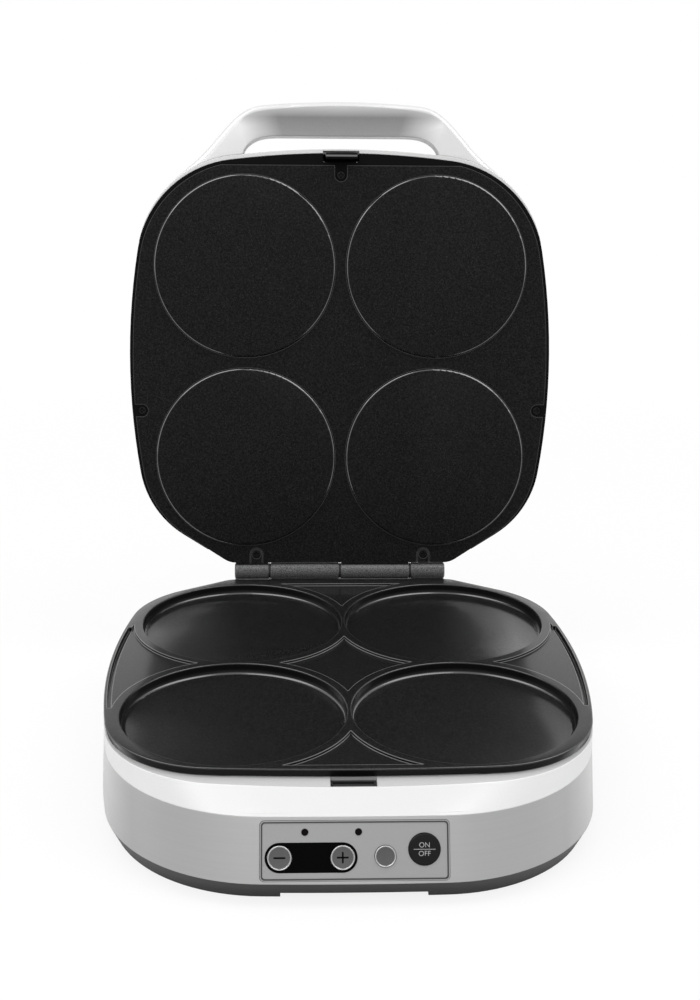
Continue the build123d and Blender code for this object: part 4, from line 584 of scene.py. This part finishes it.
def joined(shapes):
    """Several meshes as one: each one's faces count on from the points before it."""
    points, faces, start = [], [], 0
    for shape_points, shape_faces in shapes:
        points.append(shape_points)
        faces += [[start + index for index in face] for face in shape_faces]
        start += len(shape_points)
    return np.vstack(points), faces


def placed(points, origin, axes):
    """origin + x X + y Y + z Z for points x, y, z and unit directions X, Y, Z."""
    return np.asarray(origin) + np.asarray(points) @ np.asarray(axes)


def round_bar(length, width, ends=8):
    """Outline of a bar along x with half-circle ends: one end's arc, and the same turned round."""
    right = arc(((length - width) / 2, 0.0), (width / 2, width / 2), -np.pi / 2, np.pi / 2, ends)
    return np.vstack([right, -right])


def node_points(name):
    """All points of a CAD node's mesh."""
    mesh = frame["nodes"][name].data
    flat = np.zeros(len(mesh.vertices) * 3)
    mesh.vertices.foreach_get("co", flat)
    return flat.reshape(-1, 3)


def panel_axes():
    """The panel's right, up and outward directions, from the way that the buttons press."""
    press = next(joint["axis"] for joint in frame["joints"] if joint["name"] == "start_press")
    out = -np.array(press) / np.linalg.norm(press)
    right = np.array((1.0, 0.0, 0.0))
    return np.array([right, np.cross(out, right), out])


def face_centre(name, axes):
    """The middle of a node's outermost face, seen along the third direction."""
    local = node_points(name) @ axes.T
    low, high = local.min(axis=0), local.max(axis=0)
    return np.array([(low[0] + high[0]) / 2, (low[1] + high[1]) / 2, high[2]]) @ axes


def dress(material, *names, crease=24):
    """Gives CAD nodes a finish, with smooth shading up to their sharp edges."""
    for name in names:
        node = frame["nodes"][name]
        if not node.material_slots:
            node.data.materials.append(material)
        for slot in node.material_slots:
            slot.material = material
        node.data.polygons.foreach_set("use_smooth", np.full(len(node.data.polygons), True))
        weld = node.modifiers.new("Weld", "WELD")
        weld.merge_threshold = 2e-6
        split = node.modifiers.new("Sharp edges", "EDGE_SPLIT")
        split.split_angle = math.radians(crease)
        split.use_edge_sharp = False


# Settings that a user would change

class CrepeMakerSettings(bpy.types.PropertyGroup):
    speckle_size: FloatProperty(
        name="Speckle size", description="Distance between specks of the cooking coat",
        default=0.0009, min=0.0002, unit="LENGTH",
    )
    coat_roughness: FloatProperty(
        name="Coat roughness", description="How matt the cooking coat is",
        default=0.36, min=0.05, max=1.0, subtype="FACTOR",
    )
    wall_tone: FloatVectorProperty(
        name="Wall steel", description="Colour of the housing's steel",
        default=(0.385, 0.385, 0.385), min=0.0, max=1.0, subtype="COLOR",
    )
    bezel_level: FloatProperty(
        name="Bezel brightness", description="How pale the silver paint of the bezel is",
        default=0.72, min=0.0, max=1.0, subtype="FACTOR",
    )
    mark_height: FloatProperty(
        name="Mark height", description="How far printed marks stand up",
        default=0.00006, min=0.00001, unit="LENGTH",
    )
    key_power: FloatProperty(
        name="Key lights", description="Power of each of the two overhead lights",
        default=5.8, min=0.0, unit="POWER",
    )
    front_power: FloatProperty(
        name="Front light", description="Power of the light above the camera",
        default=4.0, min=0.0, unit="POWER",
    )
    side_power: FloatProperty(
        name="Side lights", description="Power of each upright side light",
        default=3.0, min=0.0, unit="POWER",
    )
    sky_level: FloatProperty(
        name="Sky", description="Strength of the even light all round", default=0.62, min=0.0,
    )


# One operator for each group of pieces

class CREPE_OT_plates(bpy.types.Operator):
    """Coat both cooking plates"""
    bl_idname = "crepe.plates"
    bl_label = "Cooking plates"

    def execute(self, context):
        settings = context.scene.crepe_maker
        lower = cooking_coat(
            settings, "lower_coat", UP, shine=0.13, reach=0.0009, wear_and_highlight=0.75, density=1.8,
        )
        dress(lower, "lower_plate", crease=PLATE_CREASE)
        upper = cooking_coat(
            settings, "upper_coat", LID_Z, shine=0.08, reach=0.0010, wear_and_highlight=0.05, density=2.0,
        )
        dress(upper, "upper_plate", crease=PLATE_CREASE)
        return {"FINISHED"}


class CREPE_OT_base(bpy.types.Operator):
    """Finish the wall, the bezel, the tray, the gland, the feet and the latch's catch"""
    bl_idname = "crepe.base"
    bl_label = "Base"

    def execute(self, context):
        settings = context.scene.crepe_maker
        dress(brushed_wall(settings), "housing_wall")
        paint = silver_paint("bezel_silver", settings.bezel_level, rough=0.32, metal=0.32)
        dress(paint, "base_bezel")
        dress(moulded("tray_black", tone(0.030), rough=0.42), "base_tray", "cord_gland")
        dress(moulded("foot_rubber", tone(0.018), rough=0.75), "rubber_feet")
        faint = {"Specular IOR Level": 0.3}
        dress(moulded("catch_dark", tone(0.020), rough=0.34, fixed=faint), "latch_catch")
        return {"FINISHED"}


class CREPE_OT_lid(bpy.types.Operator):
    """Finish the lid's shell, frame, handle and latch, add washers, and cut crosses into screws"""
    bl_idname = "crepe.lid"
    bl_label = "Lid"

    def execute(self, context):
        dress(silver_paint("shell_silver", level=0.56, rough=0.33, metal=0.45), "lid_cover")
        dress(handle_paint(level=0.64), "handle")
        faint = {"Specular IOR Level": 0.04}
        dress(moulded("frame_black", tone(0.0035), rough=0.50, fixed=faint), "lid_frame")
        dress(hook_black(), "latch_hook")
        self.washers()
        pin = brushed_metal("pin_steel", level=0.55, rough=0.25, stretch=(60.0, 3000.0, 3000.0))
        dress(pin, "hinge_pin", "latch_pin")
        spring = brushed_metal("spring_steel", level=0.45, rough=0.28, stretch=(60.0, 60.0, 3000.0))
        dress(spring, "latch_spring")
        self.screws()
        return {"FINISHED"}

    def washers(self):
        """Thin black washers on the pin, one in each barrel gap, their black a painted shade."""
        points, faces = washer(WASHER_BORE, WASHER_RADIUS, WASHER_THICKNESS, sides=48)
        points, faces = joined([
            (points + (gap, HINGE[1], HINGE[2]), faces) for gap in BARREL_GAPS
        ])
        crisp(mesh_object(
            "hinge_washers", points, faces, "base",
            [moulded("washer_black", tone(0.008), rough=0.5)],
        ))

    def screws(self):
        """Domed heads with a cross cut into them, each on its plain shank.

        The dome is the upper part of a quarter ellipse, as wide as the head.
        """
        start = 0.15 * np.pi / 2
        dome = arc((0, -HEAD_DOME), (HEAD_RADIUS, HEAD_DOME), start, np.pi / 2, count=14)[:-1]
        profile = [
            (0, -SCREW_LENGTH), (SHANK_RADIUS, -SCREW_LENGTH), (SHANK_RADIUS, -HEAD_THICKNESS),
            (HEAD_RADIUS, -HEAD_THICKNESS), (HEAD_RADIUS, -HEAD_SIDE), *dome, (0, 0.0),
        ]

        def cross(x, y):
            """Down by the cross's depth inside two crossed bars, by half of it on their outlines.

            It has no limit in height, so that it moves parts of the hidden shank too.
            """
            def bar(along, over):
                end = (CROSS_REACH - np.abs(along)) / CROSS_SOFT_END + 0.5
                side = (CROSS_HALF_WIDTH - np.abs(over)) / CROSS_SOFT_SIDE + 0.5
                return np.clip(end, 0, 1) * np.clip(side, 0, 1)
            return -CROSS_DEPTH * np.maximum(bar(x, y), bar(y, x))

        points, faces, _ = turned(profile, sides=72, lift=cross)
        axes = np.array([LID_X, -LID_Y, -LID_Z])
        shapes = []
        for x, y in LID_SCREWS:
            origin = LID_ORIGIN + x * LID_X + y * LID_Y + LID_SCREW_FACE * LID_Z
            shapes.append((placed(points, origin, axes), faces))
        points, faces = joined(shapes)
        fine = (900.0, 900.0, 900.0)
        metal = brushed_metal("lid_screw_steel", level=0.014, rough=0.34, stretch=fine)
        heads = mesh_object("lid_screw_heads", points, faces, "lid", [metal])
        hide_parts("lid_plate_screws")


class CREPE_OT_panel(bpy.types.Operator):
    """Finish the control panel and make its buttons, lamps and marks"""
    bl_idname = "crepe.panel"
    bl_label = "Control panel"

    def execute(self, context):
        self.settings = context.scene.crepe_maker
        self.axes = panel_axes()
        paint = silver_paint("panel_silver", level=0.315, rough=0.42, metal=0.25, edge=0.0002)
        dress(paint, "control_panel")
        dress(frame_line(self.axes), "panel_frame")
        dark = {"Specular IOR Level": 0.02}
        bluish = (0.0016, 0.0016, 0.0018)
        window = moulded("window_gloss", bluish, rough=0.12, grain=0.0, fixed=dark)
        dress(window, "display_window")
        dress(moulded("display_dark", tone(0.004), rough=0.2), "display_module")
        lamp = moulded("lamp_dark", (0.006, 0.005, 0.005), rough=0.14, grain=0.0, fixed=dark)
        dress(lamp, "power_lamp", "ready_lamp")
        dress(moulded("switch_black", tone(0.02), rough=0.5), "button_switches")
        for name in ("minus_button", "plus_button", "extra_button"):
            self.metal_button(name)
        self.start_button()
        return {"FINISHED"}

    def top(self, name):
        """The middle of a plain button's face."""
        return face_centre(name, self.axes)

    def stem_and_flange(self, name, passed):
        """A button's radius, and its profile from the stem's end up to the flange's outer side.

        Heights count from the plain button's face, whose half width and chamfer make the radius.
        The flange lies against the back of what the button has passed through.
        """
        local = node_points(name) @ self.axes.T
        high = local[:, 2].max()
        across = local[local[:, 2] > high - FACE_LAYER, 0]
        radius = (across.max() - across.min()) / 2 + BUTTON_CHAMFER
        depth = high - local[:, 2].min()
        seat = -BUTTON_STAND - passed
        return radius, [
            (0, -depth), (STEM_RADIUS, -depth), (STEM_RADIUS, seat - BUTTON_FLANGE),
            (radius + BUTTON_FLANGE, seat - BUTTON_FLANGE), (radius + BUTTON_FLANGE, seat),
            (radius, seat),
        ]

    def metal_button(self, name):
        """A pale rounded rim round a slightly hollow, rougher, darker face, on the button's flange
        and stem.

        The rim's paleness is a painted highlight and the face's darkness a painted reflection. The
        rim is half an ellipse. The face sinks by its hollow times 1 less the square of the share of
        its radius.
        """
        in_window = name != "extra_button"
        radius, profile = self.stem_and_flange(
            name, PANEL_THICKNESS + (WINDOW_FLANGE if in_window else 0.0),
        )
        reach = (RIM_WIDTH, RIM_HEIGHT)
        rim = arc((radius - RIM_WIDTH, -RIM_HEIGHT), reach, 0, np.pi, count=11)
        share = np.array([0.98, 0.8, 0.55, 0.3, 0.0])
        face = np.column_stack([
            (radius - 2 * RIM_WIDTH) * share, -RIM_HEIGHT - FACE_HOLLOW * (1 - share ** 2),
        ])
        profile += [(radius, -RIM_SIDE), *rim]
        points, faces, steps = turned([*profile, *face], sides=64)
        # Pale rim and dark face: a painted highlight and a painted reflection
        materials = [
            brushed_metal("button_rim", level=0.50, rough=0.18, stretch=(400.0, 400.0, 400.0)),
            brushed_metal("button_disc", level=0.10, rough=0.32, stretch=(5200.0, 60.0, 60.0)),
        ]
        made = mesh_object(
            name + "_cap", placed(points, self.top(name), self.axes), faces, name,
            materials, steps >= len(profile),
        )
        crisp(made)
        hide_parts(name)
        if not in_window:
            return
        height = self.settings.mark_height
        bars = [prism(round_bar(*SIGN_BAR), 0.0, height)]
        if name == "plus_button":
            bars.append(prism(round_bar(*SIGN_UPRIGHT)[:, ::-1] * (-1, 1), 0.0, height))
        points, faces = joined(bars)
        points[:, 2] += face[-1, 1]
        dull = {"Specular IOR Level": 0.05}
        ink = moulded("mark_black", tone(0.002), rough=0.5, grain=0.0, fixed=dull)
        mesh_object(
            name + "_mark", placed(points, self.top(name), self.axes), faces, name,
            [ink], smooth=False,
        )

    def start_button(self):
        """A slightly domed gloss black disc with a rounded edge, on the button's flange and stem.

        The edge is a quarter circle. The dome falls with the square of the share of its radius.
        """
        name = "start_button"
        radius, profile = self.stem_and_flange(name, PANEL_THICKNESS)
        middle = (radius - START_ROUND, -START_ROUND - START_DOME)
        edge = arc(middle, (START_ROUND, START_ROUND), 0, np.pi / 2, count=7)[:-1]
        share = np.array([1.0, 0.9, 0.75, 0.55, 0.3, 0.0])
        dome = np.column_stack([(radius - START_ROUND) * share, -START_DOME * share ** 2])
        points, faces, _ = turned([*profile, *edge, *dome], sides=80)
        coat = {"Specular IOR Level": 0.10, "Coat Weight": 0.12, "Coat Roughness": 0.05}
        made = mesh_object(
            "start_button_cap", placed(points, self.top(name), self.axes), faces,
            name, [moulded("start_gloss", tone(0.005), rough=0.16, grain=0.0, fixed=coat)],
        )
        crisp(made)
        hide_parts(name)
        ink = moulded("mark_white", tone(0.42), rough=0.5, grain=0.0)
        self.word("start_on", "ON", ON_HEIGHT, name, ink)
        self.word("start_off", "OFF", OFF_HEIGHT, name, ink)
        sunk, raised = -START_MARK_SINK, -START_MARK_SINK + self.settings.mark_height
        points, faces = prism(round_bar(*START_LINE), sunk, raised)
        mesh_object(
            "start_line", placed(points, self.top(name), self.axes), faces, name,
            [ink], smooth=False,
        )

    def word(self, name, text, height, body, ink):
        """Flat lettering set into place on a button, made a mesh first."""
        curve = bpy.data.curves.new(name, "FONT")
        curve.body = text
        curve.size = WORD_SIZE
        curve.align_x = "CENTER"
        curve.align_y = "CENTER"
        curve.extrude = self.settings.mark_height
        written = bpy.data.objects.new(name + "_text", curve)
        bpy.context.scene.collection.objects.link(written)
        mesh = bpy.data.meshes.new_from_object(
            written.evaluated_get(bpy.context.evaluated_depsgraph_get())
        )
        bpy.data.objects.remove(written)
        flat = np.zeros(len(mesh.vertices) * 3)
        mesh.vertices.foreach_get("co", flat)
        points = flat.reshape(-1, 3) + (0.0, height, -START_MARK_SINK)
        mesh.vertices.foreach_set("co", placed(points, self.top(body), self.axes).reshape(-1))
        mesh.materials.clear()
        mesh.materials.append(ink)
        mesh.update()
        made = bpy.data.objects.new(name, mesh)
        bpy.context.scene.collection.objects.link(made)
        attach(made, body)


class CREPE_OT_works(bpy.types.Operator):
    """Finish the heaters, shields, boards and fasteners inside"""
    bl_idname = "crepe.works"
    bl_label = "Works"

    def execute(self, context):
        sheet = brushed_metal("shield_sheet", level=0.72, rough=0.32, stretch=(60.0, 2400.0, 2400.0))
        dress(sheet, "lower_heat_shield", "upper_heat_shield")
        sheath = brushed_metal(
            "heater_sheath", level=0.16, rough=0.46, stretch=(700.0, 700.0, 700.0), warm=0.06,
        )
        dress(sheath, "lower_heater", "upper_heater")
        zinc = brushed_metal("zinc_plate", level=0.50, rough=0.34, stretch=(500.0, 500.0, 500.0))
        dress(zinc, "lower_heater_clips", "upper_heater_clips")
        steel = brushed_metal("screw_steel", level=0.42, rough=0.34, stretch=(900.0, 900.0, 900.0))
        dress(steel, "board_screws", "catch_screws", "handle_screws", "lower_clip_screws",
              "lower_plate_screws", "lower_shield_screws", "power_board_screws", "tray_screws",
              "upper_clip_screws", "upper_shield_screws")
        dress(moulded("sensor_ceramic", (0.66, 0.63, 0.55), rough=0.45),
              "lower_thermostat", "lower_thermal_fuse", "upper_thermal_fuse")
        dress(board_green(), "control_board", "power_board")
        dress(moulded("relay_case", (0.02, 0.06, 0.20), rough=0.35), "heater_relay")
        dress(moulded("transformer_wrap", (0.48, 0.34, 0.02), rough=0.40), "transformer")
        dress(moulded("capacitor_sleeve", (0.010, 0.010, 0.022), rough=0.25), "smoothing_capacitor")
        dress(moulded("terminal_nylon", (0.66, 0.66, 0.60), rough=0.50), "terminal_block")
        return {"FINISHED"}


class CREPE_OT_stage(bpy.types.Operator):
    """Set the camera, the floor, the lights and the sky"""
    bl_idname = "crepe.stage"
    bl_label = "Stage"

    def execute(self, context):
        settings = context.scene.crepe_maker
        self.camera(context)
        self.floor()
        for name, spot, height, size, power in LAMPS:
            self.lamp(name, spot, (0.0, 0.0, height), size, getattr(settings, power))
        self.sky(context, settings.sky_level)
        context.scene.view_settings.view_transform = "Standard"
        return {"FINISHED"}

    def camera(self, context):
        """Looks ahead along its yaw and pitch, and is then rolled about that line."""
        level_share = math.cos(CAMERA_PITCH)
        ahead = Vector((
            math.sin(CAMERA_YAW) * level_share, math.cos(CAMERA_YAW) * level_share,
            math.sin(CAMERA_PITCH),
        ))
        level = Vector((math.cos(CAMERA_YAW), -math.sin(CAMERA_YAW), 0.0))
        above = level.cross(ahead)
        right = math.cos(CAMERA_ROLL) * level + math.sin(CAMERA_ROLL) * above
        up = math.cos(CAMERA_ROLL) * above - math.sin(CAMERA_ROLL) * level
        data = bpy.data.cameras.new("camera")
        data.lens = CAMERA_LENS
        data.sensor_width = SENSOR_WIDTH
        data.clip_start = 0.01
        made = bpy.data.objects.new("camera", data)
        context.scene.collection.objects.link(made)
        turn = Matrix((right, up, -ahead)).transposed().to_4x4()
        made.matrix_world = Matrix.Translation(CAMERA_SPOT) @ turn
        context.scene.camera = made

    def floor(self):
        """A disc of floor that shows the camera white, with a share of its shadow near the object.

        The camera sees white by a share of 0.84 up to 0.32 m from the middle, and by more beyond,
        up to the whole at 0.90 m. The rest is a matt floor, which all other rays see.
        """
        r = Recipe("floor")
        seen = r.node("ShaderNodeLightPath", out="Is Camera Ray")
        share = r.ramp(r.vector("LENGTH", r.spot(), out="Value"), (0.32, 0.84), (0.90, 1.0))
        grain = r.mix(r.noise(40.0), tone(0.84), tone(0.86))
        matt = r.node("ShaderNodeBsdfDiffuse", sockets={"Color": grain})
        white = r.node("ShaderNodeEmission", sockets={"Color": tone(1.0), "Strength": 1.0})
        both = r.node("ShaderNodeMixShader", sockets={0: seen * share, 1: matt, 2: white})
        r.node("ShaderNodeOutputMaterial", sockets={"Surface": both})
        points, faces, _ = turned([
            (0, FLOOR_UNDERSIDE), (FLOOR_RADIUS - FLOOR_RIM, FLOOR_UNDERSIDE),
            (FLOOR_RADIUS, FLOOR_TOP), (0, FLOOR_TOP),
        ], sides=96)
        mesh = bpy.data.meshes.new("floor")
        mesh.from_pydata(points.tolist(), [], faces)
        mesh.materials.append(r.owner)
        made = bpy.data.objects.new("floor", mesh)
        bpy.context.scene.collection.objects.link(made)

    def lamp(self, name, spot, target, size, power):
        """An area light that faces a point."""
        data = bpy.data.lights.new(name, "AREA")
        data.shape = "RECTANGLE"
        data.size, data.size_y = size
        data.energy = power
        made = bpy.data.objects.new(name, data)
        bpy.context.scene.collection.objects.link(made)
        turn = (Vector(target) - Vector(spot)).to_track_quat("-Z", "Y").to_matrix().to_4x4()
        made.matrix_world = Matrix.Translation(spot) @ turn

    def sky(self, context, level):
        """Even light, shown to the camera, in reflections and through glass as plain white."""
        r = Recipe("sky", "worlds")
        rays = ("Is Camera Ray", "Is Glossy Ray", "Is Transmission Ray")
        seen = r.greatest(*(r.node("ShaderNodeLightPath", out=ray) for ray in rays))
        light = r.node("ShaderNodeBackground", sockets={
            "Color": tone(1.0), "Strength": level + (1.0 - level) * seen,
        })
        r.node("ShaderNodeOutputWorld", sockets={"Surface": light})
        context.scene.world = r.owner


class CREPE_PT_sidebar(bpy.types.Panel):
    """Lists the settings and the steps"""
    bl_idname = "CREPE_PT_sidebar"
    bl_label = "Crepe Maker"
    bl_space_type = "VIEW_3D"
    bl_region_type = "UI"
    bl_category = "Crepe Maker"

    def draw(self, context):
        for name in CrepeMakerSettings.__annotations__:
            self.layout.prop(context.scene.crepe_maker, name)
        for step in STEPS:
            self.layout.operator(step.bl_idname)


STEPS = (
    CREPE_OT_plates, CREPE_OT_base, CREPE_OT_lid, CREPE_OT_panel, CREPE_OT_works, CREPE_OT_stage,
)
CLASSES = (CrepeMakerSettings, *STEPS, CREPE_PT_sidebar)


def register():
    for one in CLASSES:
        bpy.utils.register_class(one)
    bpy.types.Scene.crepe_maker = PointerProperty(type=CrepeMakerSettings)


def unregister():
    del bpy.types.Scene.crepe_maker
    for one in reversed(CLASSES):
        bpy.utils.unregister_class(one)


def main():
    register()
    for old in [item for item in bpy.data.objects if item.type in {"CAMERA", "LIGHT"}]:
        bpy.data.objects.remove(old)
    for step in STEPS:
        area, name = step.bl_idname.split(".")
        getattr(getattr(bpy.ops, area), name)()


if __name__ == "__main__":
    main()
